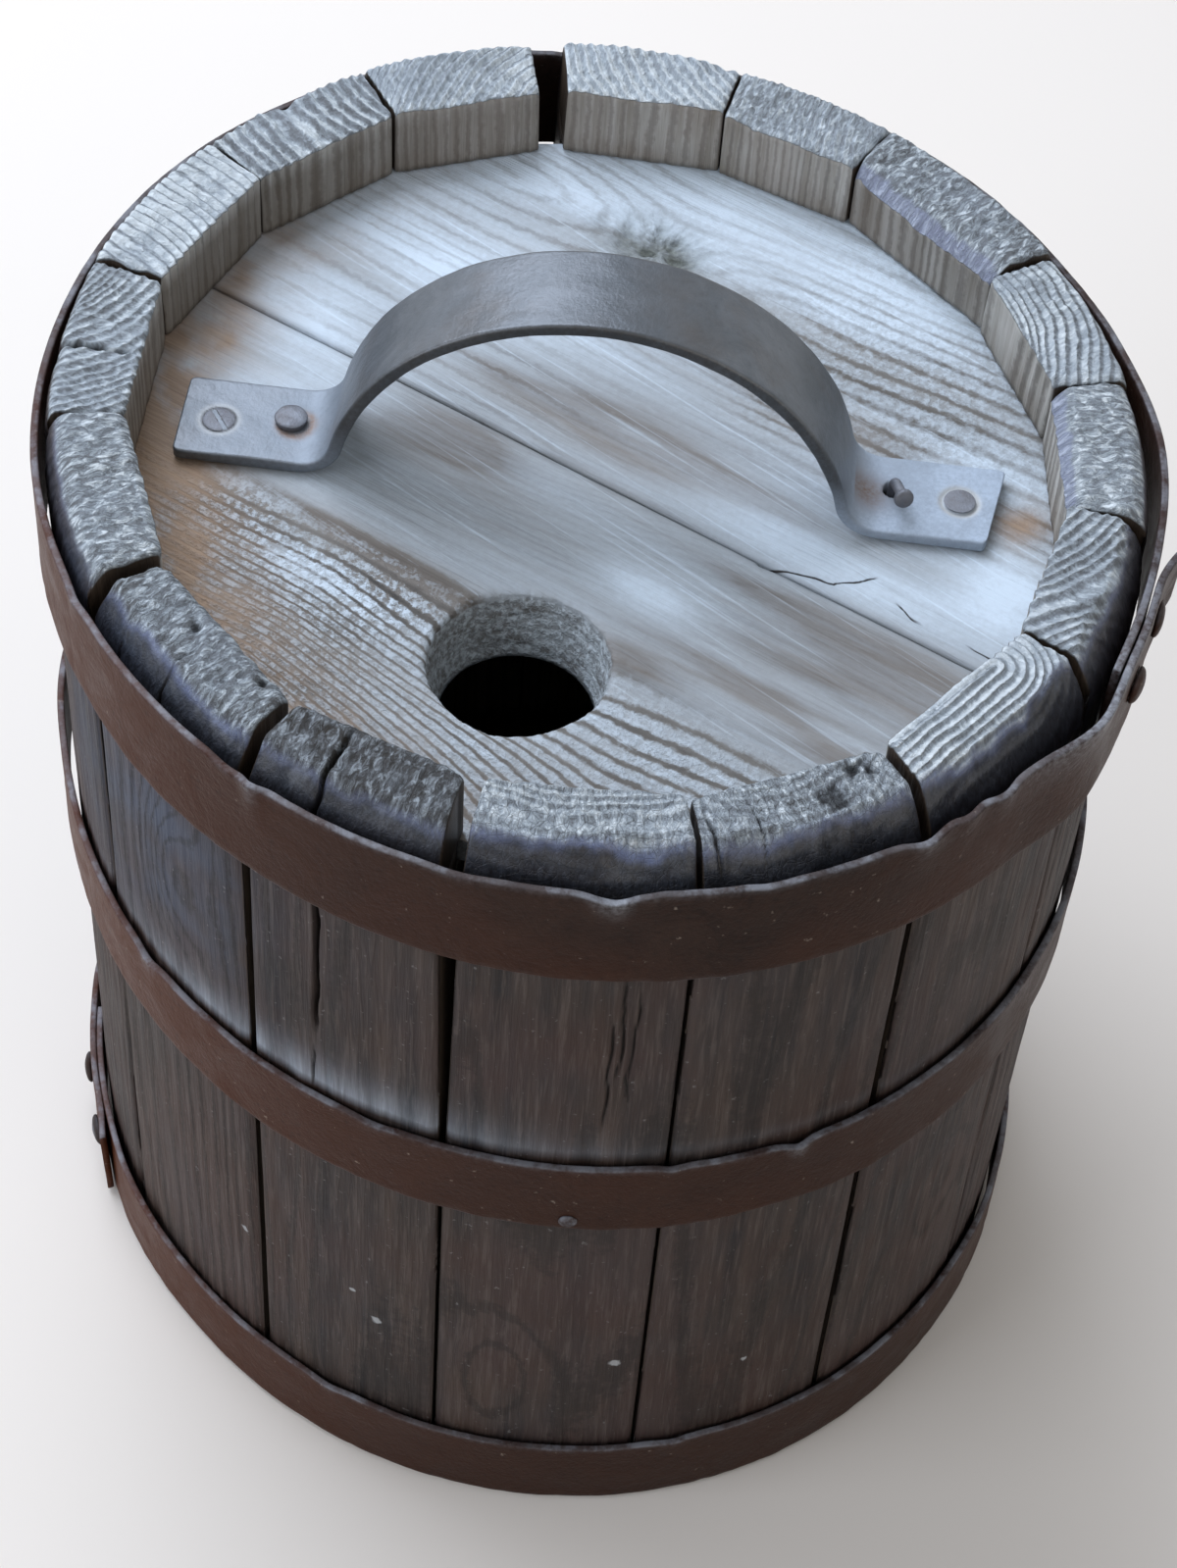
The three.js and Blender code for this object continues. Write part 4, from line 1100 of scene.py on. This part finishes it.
def board_surface(centre, side, hole, seed):
    """Points and masks of one board of the head, in rays from a centre inside its outline.

    Each ray runs to the board joint, a straight line, or to the sunk circle of the head's edge, the
    root of a quadratic, whichever is nearer. Down the ray's profile the board has its top, its upright
    tongue, its bevel and its underside, back to the centre or down the tapered wall of the bung hole."""
    limit = JOINT_OFFSET + side * BOARD_JOINT / 2
    half_chord = math.sqrt(HEAD_EDGE**2 - limit**2)
    ends = limit * GRAIN_ACROSS + half_chord * np.array([[-1], [1]]) * GRAIN_WAY - centre
    to_ends = np.arctan2(ends[:, 1], ends[:, 0]) % (2 * math.pi)
    angle = np.unique(np.concatenate([full_turn(BOARD_COLUMNS), to_ends]))
    way = joined(np.cos(angle), np.sin(angle))
    towards = way @ GRAIN_ACROSS
    to_joint = (limit - centre @ GRAIN_ACROSS) / np.where(np.abs(towards) < 1e-9, 1e-9, towards)
    to_joint = np.where(to_joint > 0, to_joint, np.inf)

    def reach(radius):
        """How far each ray runs to the sunk circle of a radius, or to the joint if that is nearer."""
        start = centre @ BACK_TO_ROUND
        step = way @ BACK_TO_ROUND
        a = (step * step).sum(-1)
        b = step @ start
        c = start @ start - radius**2
        return np.minimum((-b + np.sqrt(b * b - a * c)) / a, to_joint)

    # Distances along the rays, down the profile.
    share = np.linspace(0, 1, BOARD_ROWS)[:, None]
    ray = 6 * way
    ragged = 0.3 * rough(ray / 0.7, seed, 3) + 0.5 * noise(ray / 4, seed + 1)
    hole_top = (hole + ragged) * bool(hole)
    hole_under = max(hole - BUNG_TAPER, 0)
    top = hole_top + (reach(HEAD_EDGE) - hole_top) * share ** (1.25 if hole else 1.0)
    edge = [reach(HEAD_EDGE), reach(HEAD_WALL), reach(HEAD_WALL - HEAD_BEVEL)]
    under = hole_under + (edge[-1] - hole_under) * np.linspace(1, 0, UNDER_ROWS)[1:, None]
    distance = np.concatenate([top, edge, under])
    places = centre + distance[..., None] * way
    height, masks = head_relief(places[:BOARD_ROWS], seed + 2)
    gap = np.abs(places[:BOARD_ROWS] @ GRAIN_ACROSS - limit)
    height = height - 0.7 * rounded(gap / 1.4)
    if hole:
        lip = distance[:BOARD_ROWS] - hole_top
        height = height - 1.3 * rounded(lip / 2.2) * (1 + 0.4 * noise(ray / 2, seed + 3))
    lower = np.outer([TONGUE_UNDER, TONGUE_UNDER] + UNDER_ROWS * [HEAD_UNDER], np.ones_like(angle))
    z = np.concatenate([HEAD_LEVEL + height, lower])
    masks = {name: np.concatenate([mask, 0 * lower]) for name, mask in masks.items()}
    points = np.concatenate([places, z[..., None]], -1)
    if not hole:
        return points, masks
    # The wall of the hole, torn along its fibres.
    climb = np.linspace(0, 1, BORE_ROWS)[1:-1, None]
    fibre_place = joined(ray[:, 0] / 2, ray[:, 1] / 2, climb * 12)
    fibre = rough(fibre_place, seed + 4, 3)
    wall = hole_under + climb * (hole_top - hole_under) + 0.3 * fibre
    wall_z = HEAD_UNDER + climb * (z[0] - HEAD_UNDER)
    wall_points = np.concatenate([centre + wall[..., None] * way, wall_z[..., None]], -1)
    wall_masks = {name: np.zeros_like(wall) for name in masks} | {"bore": np.ones_like(wall)}
    # Painted light: the wall is paler towards its right side and darker to the left.
    wall_masks["pale"] = np.clip(0.5 + 0.6 * fibre, 0, 1) * (0.6 + 0.4 * np.cos(angle))
    masks = {name: np.concatenate([mask, wall_masks[name]]) for name, mask in masks.items()}
    return np.concatenate([points, wall_points]), masks


def head_finish():
    """Softwood greyed by weather: brown in the hollows, silver on the ridges, under pale dust."""
    finish, shader, place, mask = new_finish("dusty_head")
    laid = laid_out(place, turn=(0, 0, -JOINT_ANGLE))
    grain = place_group(WOOD_GRAIN, laid_out(laid, turn=(0, math.pi / 2, 0)), Fineness=1.0)
    ring = place_group(RING_LINES, place, Count=mask("ring_count"))
    worn = mask("worn")
    stain_and_shadow = mask("stain_and_shadow")
    bore = mask("bore")
    pale = mask("pale")
    speckle = mottle(place, 620.0, 3.0, 0.7, (0.3, 0.7))
    bristle = mottle(place, 640.0, 3.0, 0.7, (0.4, 0.6))
    scored = laid_out(laid_out(laid, turn=(0, 0, 0.12)), drawn=(0.02, 1, 1))
    scratch = mottle(scored, 800.0, 2.0, 0.5, (0.6, 0.7))
    breaks = mottle(place, 170.0, 4.0, 0.7, (0.36, 0.6), (0.45, 1.0))
    line = ring["Line"] * mask("lined")
    valley = (1.0 - ring["Ridge"]) * worn * breaks
    risen = ring["Ridge"] * worn * remap(bristle, to=(0.3, 1.0))
    broken = (1.0 - bristle) * (mask("bristly") * worn)

    wood = mix(grain["Streak"], *HEAD_WOOD)
    wood = mix(0.3 * stain_and_shadow, wood, HEAD_BROWN)
    wood = mix(0.4 * line, wood, HEAD_RING)
    wood = mix(valley, wood, HEAD_VALLEY)
    cover = 0.44 + 0.3 * grain["Band"] + 0.6 * pale - 0.36 * stain_and_shadow - 1.2 * valley - 0.25 * line
    cover = cover - 0.2 * grain["Streak"] - 0.12 * grain["Fibre"] + 0.5 * risen - 0.75 * broken
    cover = held((cover + 0.25 * scratch) * remap(speckle, to=(0.85, 1.0)))
    wood = mix(cover, wood, HEAD_DUST)
    wood = mix(0.9 * mask("dirt"), wood, mix(grain["Fibre"], *HEAD_DIRT))
    wood = mix(0.9 * mask("knot"), wood, mix(speckle, *KNOT_MOSS))
    wood = mix(bore, wood, mix(held(0.6 * pale + 0.45 * bristle), *BORE_WOOD))
    # Painted shade dark in the open cracks; the same colour, fainter, marks the board joint.
    beside = maths("ABSOLUTE", mask("crack_side"))
    crack = remap(beside, (0.12, 0.4), (1.0, 0.0)) * mask("crack_run")
    wood = mix(larger(crack, mask("hollow")), wood, HEAD_CRACK_SHADE)
    height = 1.6 * (risen + bristle * bore) + 0.5 * (grain["Fibre"] + 0.6 * grain["Streak"])
    fill(shader, {
        "Base Color": wood,
        "Roughness": remap(cover, to=(0.6, 0.9)),
        "Specular IOR Level": 0.25,
        "Normal": relief(height, strength=0.6, depth=0.6 * MM),
    })
    return finish


head_wood = head_finish()
for node, centre, side, hole in (
    ("upper_head_front_board", BUNG_PLACE, -1, BUNG_RADIUS),
    ("upper_head_back_board", KNOT_PLACE, 1, 0),
):
    shape, shape_masks = board_surface(centre, side, hole, seed=3000)
    add_piece(f"worn_{node}", shape, shape_masks, head_wood, node, rows_close=bool(hole))

# Lower head and dowels: two like boards at the floor, and round pegs in both joints. They keep their
# solids and take plain softwood, since only the dark inside and the floor face them.
STAINED_WOOD = ("33281f", "5e4a3b")
DOWEL_WOOD = ("80633f", "a98b62")


def lower_finish(name, colours):
    """Plain dull softwood with streaks of grain."""
    finish, shader, place, _ = new_finish(name)
    grain = place_group(WOOD_GRAIN, place, Fineness=0.7)
    fill(shader, {
        "Base Color": mix(grain["Streak"], *colours),
        "Roughness": 0.85,
        "Normal": relief(grain["Fibre"], strength=0.3, depth=0.5 * MM),
    })
    return finish


lower_wood = lower_finish("stained_head", STAINED_WOOD)
dowel_wood = lower_finish("split_dowel", DOWEL_WOOD)
for board in ("lower_head_right_board", "lower_head_left_board"):
    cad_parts[board].data.materials[0] = lower_wood
for dowel in ("upper_head_dowel_1", "upper_head_dowel_2", "lower_head_dowel_1", "lower_head_dowel_2"):
    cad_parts[dowel].data.materials[0] = dowel_wood

# Strap handle: one flat iron bar, bent hot to an arch between two flat feet, which a screw and three
# nails hold to the head across its joint. Hands have kept the arch dark and smooth, and dust lies on
# the feet. The right foot was cut off at a slant.
STRAP_WIDTH = 24
STRAP_THICKNESS = 3
STRAP_CORNER = 0.7
HANDLE_RISE = 55
HANDLE_INSET = 8.5
FOOT_LENGTH = 28
BEND_RADIUS = 8
HANDLE_PLACE = (-1, -0.6)
HANDLE_TURN = math.radians(-3.2)
FOOT_END = (outer_radius(HEAD_LEVEL) - STAVE_THICKNESS) * (1 - OUT_OF_ROUND) - HANDLE_INSET
BEND_PLACE = FOOT_END - FOOT_LENGTH
# Fasteners, along the strap and across it, and the size of their heads.
SCREW = (8.8 - FOOT_END, -1, 3.7)
PROUD_NAIL = (25 - FOOT_END, 1, 3.8)
FLUSH_NAIL = (FOOT_END - 10.3, 0, 3.6)
BENT_NAIL = (FOOT_END - 25.6, 1.3, 1.25)
BENT_NAIL_HOLE = 2.3
# Brown halos lie a little off the proud nail and off the bent one.
PROUD_HALO = (1.3, -0.8)
BENT_HALO = (-6, -2)
HANDLE_IRON = ("555b61", "666b71")
HANDLE_BLOTCH = "524a43"
HANDLE_PIT = "353233"
GRIP_IRON = "43484e"
HANDLE_SIDE_SHADE = "3a3734"
FOOT_DUST = "b0bdcc"
RUST_HALO = "75583f"
PALE_RING = "c0bfba"
HOLE_SHADE = "1b1817"


def on_head(points):
    """Points of the handle's own frame, X along the strap and Z up from its feet, put on the head."""
    x, y, z = np.moveaxis(points, -1, 0)
    return joined(
        HANDLE_PLACE[0] + x * math.cos(HANDLE_TURN) - y * math.sin(HANDLE_TURN),
        HANDLE_PLACE[1] + x * math.sin(HANDLE_TURN) + y * math.cos(HANDLE_TURN),
        HEAD_LEVEL + CLEARANCE + z,
    )


def strap_path():
    """Middle line of the strap from the left foot's end to the right's, in side view.

    The arch is the circle through the handle's top that touches both bends, which are circles that
    touch the feet."""
    bend_level = STRAP_THICKNESS + BEND_RADIUS
    drop = HANDLE_RISE - bend_level
    arch = (BEND_PLACE**2 + drop**2 - BEND_RADIUS**2) / (2 * (BEND_RADIUS + drop))
    arch_level = HANDLE_RISE - arch
    lean = math.atan2(bend_level - arch_level, BEND_PLACE)
    over = np.linspace(math.pi / 2, lean, 80)
    under = np.linspace(math.pi + lean, 1.5 * math.pi, 16)[1:]
    foot = np.linspace(BEND_PLACE, FOOT_END, 71)[1:]
    middle = arch - STRAP_THICKNESS / 2
    bend = BEND_RADIUS + STRAP_THICKNESS / 2
    x = np.concatenate([middle * np.cos(over), BEND_PLACE + bend * np.cos(under), foot])
    foot_z = np.full_like(foot, STRAP_THICKNESS / 2)
    z = np.concatenate([arch_level + middle * np.sin(over), bend_level + bend * np.sin(under), foot_z])
    return joined(np.concatenate([-x[:0:-1], x]), np.concatenate([z[:0:-1], z]))


def unit(vectors):
    """Vectors drawn to a length of 1."""
    return vectors / np.linalg.norm(vectors, axis=-1, keepdims=True)


def strap_surface(seed):
    """Points and masks of the strap: a flat bar's section carried along its middle line.

    The section stands square to the line, its faces uneven by hammer noise and its width by a slower
    noise. A circle under the bent nail sinks through the bar, with the points beside it drawn onto its
    edge, and the flush nail lies in a shallow dish. The first and last rows close to a line."""
    line = strap_path()
    rows = np.concatenate([[0], np.arange(len(line)), [len(line) - 1]])
    step = unit(np.gradient(line, axis=0))[rows]
    line = line[rows]
    x, z = line[:, :1], line[:, 1:]
    across, through = bar_section(STRAP_WIDTH, STRAP_THICKNESS, STRAP_CORNER, 46).T
    run = np.concatenate([[0], np.cumsum(np.linalg.norm(np.diff(line, axis=0), axis=-1))])[:, None]
    to_end = np.minimum(run, run[-1] - run)
    open_end = np.ones_like(run)
    open_end[[0, -1]] = 0
    place = joined(run / 8, across / 6)
    slow = joined(run / 18, 0.0)
    width = across * (1 + 0.012 * noise(slow, seed) - 0.10 * rounded(to_end / 2))
    slanted = rising(x, FOOT_END - 7, FOOT_END) * (STRAP_WIDTH / 2 - width) / 6
    face = through * open_end + np.sign(through) * open_end * 0.10 * rough(place, seed + 1)
    laid = (x - slanted - step[:, 1:] * face, width, z + step[:, :1] * face)
    points = joined(*laid)

    # The hole of the bent nail.
    upper = through > 0.4 * STRAP_THICKNESS
    hole = points[..., :2] - BENT_NAIL[:2]
    far = np.linalg.norm(hole, axis=-1)
    past = far - BENT_NAIL_HOLE
    drawn = np.where(np.abs(past) < 0.5, BENT_NAIL_HOLE + past * np.abs(past) / 0.5, far)
    on_foot = upper & (points[..., 2] < 1.5 * STRAP_THICKNESS) & (far < 4)
    in_hole = on_foot * (drawn < BENT_NAIL_HOLE)
    pull = np.where(on_foot, drawn / np.maximum(far, 1e-6), 1)
    points[..., :2] = BENT_NAIL[:2] + hole * pull[..., None]
    points[..., 2] -= in_hole * 0.9 * STRAP_THICKNESS

    def from_spot(spot, offset=(0, 0)):
        """Distance over the strap from a fastener, or from a place beside it."""
        return np.linalg.norm(points[..., :2] - spot[:2] - np.array(offset), axis=-1)

    # The dish of the flush nail, and what lies round the heads.
    dish = from_spot(FLUSH_NAIL) - FLUSH_NAIL[2]
    points[..., 2] -= upper * 0.5 * bump_at(dish - 0.4, 0.6)
    screw = from_spot(SCREW) - SCREW[2]
    proud = from_spot(PROUD_NAIL, PROUD_HALO) - PROUD_NAIL[2]
    low = points[..., 2] < 2 * STRAP_THICKNESS
    on_feet = rising(points[..., 2], STRAP_THICKNESS + 14, STRAP_THICKNESS)
    masks = {
        "edge": bump_at(STRAP_WIDTH / 2 - np.abs(across), 0.45),
        "grip": bump_at(x, 20),
        # Dust on both feet; on the right one it lies thicker, which also paints light over that foot's
        # shade.
        "foot": on_feet * np.where(x > 0, 1, 0.05 + 0.35 * (x + FOOT_END) / FOOT_LENGTH),
        "halo": low * np.maximum(bump_at(proud, 1.1), bump_at(from_spot(BENT_NAIL, BENT_HALO), 5)),
        "pale_ring": low * np.maximum(bump_at(dish - 0.6, 0.8), 0.3 * bump_at(screw - 0.8, 0.7)),
        # Painted shade: near black in the gap round the screw head and in the bent nail's hole.
        "hollow": low * np.maximum(bump_at(screw - 0.1, 0.3), in_hole),
    }
    return on_head(points), masks


def handle_finish():
    """Forged iron gone dark: blue-grey scale with brown rust, painted shade on its sides, dusty feet."""
    finish, shader, place, mask = new_finish("forged_handle")
    rust = place_group(RUST, place, Size=1.2)
    iron = mix(rust["Thick"], *HANDLE_IRON)
    iron = mix(0.5 * mottle(place, 30.0, 5.0, 0.65, (0.48, 0.66)), iron, HANDLE_BLOTCH)
    iron = mix(0.2 * rust["Pits"], iron, HANDLE_PIT)
    iron = mix(0.5 * mask("grip"), iron, GRIP_IRON)
    # Painted shade: the strap's sides darker than its faces.
    iron = mix(mask("edge") * remap(rust["Grain"], (0.2, 0.8), (0.7, 0.4)), iron, HANDLE_SIDE_SHADE)
    dust = place_group(DUST, place, Amount=0.9, Patch=55.0)
    dusty = remap(dust["Cover"], (0.0, 0.6), (0.7, 1.0)) * mask("foot")
    dusty = dusty * remap(rust["Grain"], to=(0.75, 1.0))
    iron = mix(dusty, iron, FOOT_DUST)
    iron = mix(mask("halo") * remap(rust["Grain"], to=(0.4, 0.95)), iron, RUST_HALO)
    iron = mix(0.7 * mask("pale_ring"), iron, PALE_RING)
    # Painted shade in the hole and round the screw head.
    iron = mix(mask("hollow"), iron, HOLE_SHADE)
    fill(shader, {
        "Base Color": iron,
        "Roughness": remap(dusty, (0.0, 0.7), (0.36, 0.8)),
        "Metallic": 0.4,
        "Normal": relief(rust["Grain"] + rust["Thick"], strength=0.16, depth=0.4 * MM),
    })
    return finish


handle_iron = handle_finish()
strap, strap_masks = strap_surface(seed=4000)
add_piece("forged_strap_handle", strap, strap_masks, handle_iron, "strap_handle")

# Fasteners: a slotted countersunk screw and a proud round-headed nail in the left foot, a flush nail
# and a pulled, bent nail in the right one. All are plain iron, dulled, and driven through the strap.
SCREW_NECK = 3.5
SCREW_CROWN = 0.3
SLOT_WIDTH = 1.1
SLOT_DEPTH = 0.9
SLOT_TURN = math.radians(-56)
PROUD_RISE = 2.2
FLUSH_RISE = 0.45
BENT_NAIL_HEAD = 2.2
BENT_NAIL_COLUMNS = 28
FASTENER_IRON = ("5a5c63", "6f6f73")
FASTENER_RUST = "4a3a30"
FASTENER_DUST = "949ca8"
SLOT_DUST = "c3b9a6"


def fastener_finish():
    """Dull iron with a breath of dust and brown rust in its hollows."""
    finish, shader, place, mask = new_finish("dull_fastener")
    rust = place_group(RUST, place, Size=2.5)
    iron = mix(rust["Thick"], *FASTENER_IRON)
    iron = mix(0.5 * rust["Pits"], iron, FASTENER_RUST)
    iron = mix(place_group(DUST, place, Amount=0.5, Patch=200.0)["Cover"], iron, FASTENER_DUST)
    iron = mix(mask("hollow"), iron, SLOT_DUST)
    fill(shader, {
        "Base Color": iron,
        "Roughness": remap(rust["Thick"], to=(0.45, 0.65)),
        "Metallic": 0.4,
        "Normal": relief(rust["Grain"], strength=0.3, depth=0.3 * MM),
    })
    return finish


def bent_nail_surface():
    """A round wire carried up out of its hole, over a bend and out to a flat head.

    The line is straight, then a quadratic curve, then straight; circles stand square to it, swelling
    to the head over the last stretch, and both ends close to a point."""
    knee = np.array([0, 0, 3.2])
    tail = np.array([2, -7.5, 2.6])
    lean = unit(tail)
    start = np.array([0, 0, -2.5])
    low = np.array([0, 0, 0.8])
    high = knee + 2.4 * lean
    end = knee + tail
    share = np.linspace(0, 1, 12)[:, None]
    shank = start + (low - start) * share[:-1]
    bend = (1 - share) ** 2 * low + 2 * share * (1 - share) * knee + share * share * high
    head = end + lean * np.array([[0], [0], [0.5], [1.0], [1.2], [1.2]])
    line = np.concatenate([start[None], shank, bend, high + (end - high) * share[1:], head])
    swell = BENT_NAIL_HEAD * np.array([0.6, 1, 1.03, 0.96, 0.8, 0])
    radius = np.concatenate([[0], np.full(len(line) - 7, BENT_NAIL[2]), swell])
    step = unit(np.gradient(line, axis=0) + 1e-6 * lean)
    sideways = unit(np.cross(lean, [0, 0, 1]))
    upright = np.cross(sideways, step)
    angle = full_turn(BENT_NAIL_COLUMNS)[None, :, None]
    ring = np.cos(angle) * sideways + np.sin(angle) * upright[:, None]
    return line[:, None] + radius[:, None, None] * ring


fastener_iron = fastener_finish()
crown = np.linspace(1, 0, 40)
screw = turned_surface(
    np.concatenate([[0, SCREW_NECK], SCREW[2] * np.sqrt(crown)]),
    np.concatenate([[-1, -1], SCREW_CROWN * (1 - crown**4)]),
    columns=144, wobble=0.0, seed=4100,
)
slot_side = np.abs(screw[..., 1] * math.cos(SLOT_TURN) - screw[..., 0] * math.sin(SLOT_TURN))
in_slot = (slot_side < SLOT_WIDTH / 2) & (screw[..., 2] > -0.5)
screw[..., 2] -= SLOT_DEPTH * in_slot
proud_nail = domed_head(PROUD_NAIL[2], PROUD_RISE, columns=56, wobble=0.05, seed=4200, upright=0.65)
flush_nail = domed_head(FLUSH_NAIL[2], FLUSH_RISE, columns=56, wobble=0.05, seed=4300, upright=0.65)
for name, node, fastener, shape, hollow in (
    ("slotted_screw", "left_foot_screw", SCREW, screw, 0.7 * in_slot),
    ("proud_nail", "left_foot_nail", PROUD_NAIL, proud_nail, 0.0),
    ("flush_nail", "right_foot_nail", FLUSH_NAIL, flush_nail, 0.0),
    ("bent_nail", "right_foot_bent_nail", BENT_NAIL, bent_nail_surface(), 0.0),
):
    shape = on_head(shape + np.array([fastener[0], fastener[1], STRAP_THICKNESS]))
    add_piece(name, shape, {"hollow": hollow}, fastener_iron, node)

# Floor, light and camera: a pale floor that passes into a pale backdrop, soft windows at the back and
# on the left, a weak fill in front and light from all round, and the camera where the photograph was
# taken from.
FLOOR_PALE = "e4dcd2"
BACKDROP = "ecebe9"
ROOM_LIGHT = "a7abb1"
FLOOR_HALF = 8
FLOOR_ENDS = (0.7, 1.9)
CAMERA_PLACE = (0, -483.6, 756.7)
CAMERA_PITCH = 0.90824
CAMERA_YAW = 0.00878
CAMERA_ROLL = 0.08147
FOCAL_PIXELS = 3100
PHOTO_HEIGHT = 1599
SENSOR = 36.0
# Windows by name: place and target in metres, size, power and colour.
WINDOWS = {
    "high_window": ((-0.7, 0.9, 1.7), (0, 0, 0.2), 1.5, 42, "e6efff"),
    "left_window": ((-1.5, -0.8, 1.1), (0, 0, 0.2), 1.2, 16, "e6efff"),
    "front_fill": ((1.2, -1.6, 0.9), (0, 0, 0.15), 1.4, 6, "fff2e4"),
}


def looked_at(tree):
    """1 where the camera looks, straight or by a reflection or through glass, and 0 for light."""
    path = fields_of(add_node(tree, "ShaderNodeLightPath", {}))
    return larger(path["Is Camera Ray"], larger(path["Is Glossy Ray"], path["Is Transmission Ray"]))


floor_mesh = bpy.data.meshes.new("floor")
floor_corners = [(-FLOOR_HALF, -FLOOR_HALF, 0), (FLOOR_HALF, -FLOOR_HALF, 0)]
floor_corners += [(FLOOR_HALF, FLOOR_HALF, 0), (-FLOOR_HALF, FLOOR_HALF, 0)]
floor_mesh.from_pydata(floor_corners, [], [(0, 1, 2, 3)])
floor_finish, floor_shader, floor_place, _ = new_finish("pale_floor")
floor_tree = floor_finish.node_tree
fill(floor_shader, {"Base Color": FLOOR_PALE, "Roughness": 0.8})
away = field(floor_tree, "ShaderNodeVectorMath", {0: floor_place}, "Value", operation="LENGTH")
faded = field(floor_tree, "ShaderNodeMixShader", {
    0: remap(away, FLOOR_ENDS) * looked_at(floor_tree),
    1: Field(floor_shader.outputs[0]),
    2: field(floor_tree, "ShaderNodeEmission", {"Color": BACKDROP}),
})
fill(floor_tree.nodes["Material Output"], {"Surface": faded})
floor_mesh.materials.append(floor_finish)
floor = bpy.data.objects.new("floor", floor_mesh)
bpy.context.scene.collection.objects.link(floor)

world = bpy.data.worlds.new("soft_room")
world.use_nodes = True
bpy.context.scene.world = world
room = mix(looked_at(world.node_tree), ROOM_LIGHT, BACKDROP)
fill(world.node_tree.nodes["Background"], {"Color": room})

for name, (place, target, size, power, colour) in WINDOWS.items():
    lamp = bpy.data.lights.new(name, "AREA")
    lamp.size = size
    lamp.energy = power
    lamp.color = shade(colour)[:3]
    window = bpy.data.objects.new(name, lamp)
    facing = (Vector(target) - Vector(place)).to_track_quat("-Z", "Y")
    window.matrix_world = Matrix.Translation(place) @ facing.to_matrix().to_4x4()
    bpy.context.scene.collection.objects.link(window)

camera = bpy.data.cameras.new("photo_camera")
camera.sensor_width = SENSOR
camera.lens = FOCAL_PIXELS * SENSOR / PHOTO_HEIGHT
look = Vector((
    math.sin(CAMERA_YAW) * math.cos(CAMERA_PITCH),
    math.cos(CAMERA_YAW) * math.cos(CAMERA_PITCH),
    -math.sin(CAMERA_PITCH),
))
level = look.cross(Vector((0, 0, 1))).normalized()
upright = level.cross(look)
right = level * math.cos(CAMERA_ROLL) + upright * math.sin(CAMERA_ROLL)
up = upright * math.cos(CAMERA_ROLL) - level * math.sin(CAMERA_ROLL)
turn_matrix = Matrix((right, up, -look)).transposed().to_4x4()
viewer = bpy.data.objects.new("photo_camera", camera)
viewer.matrix_world = Matrix.Translation(Vector(CAMERA_PLACE) * MM) @ turn_matrix
bpy.context.scene.collection.objects.link(viewer)
bpy.context.scene.camera = viewer
bpy.context.scene.view_settings.view_transform = "Standard"
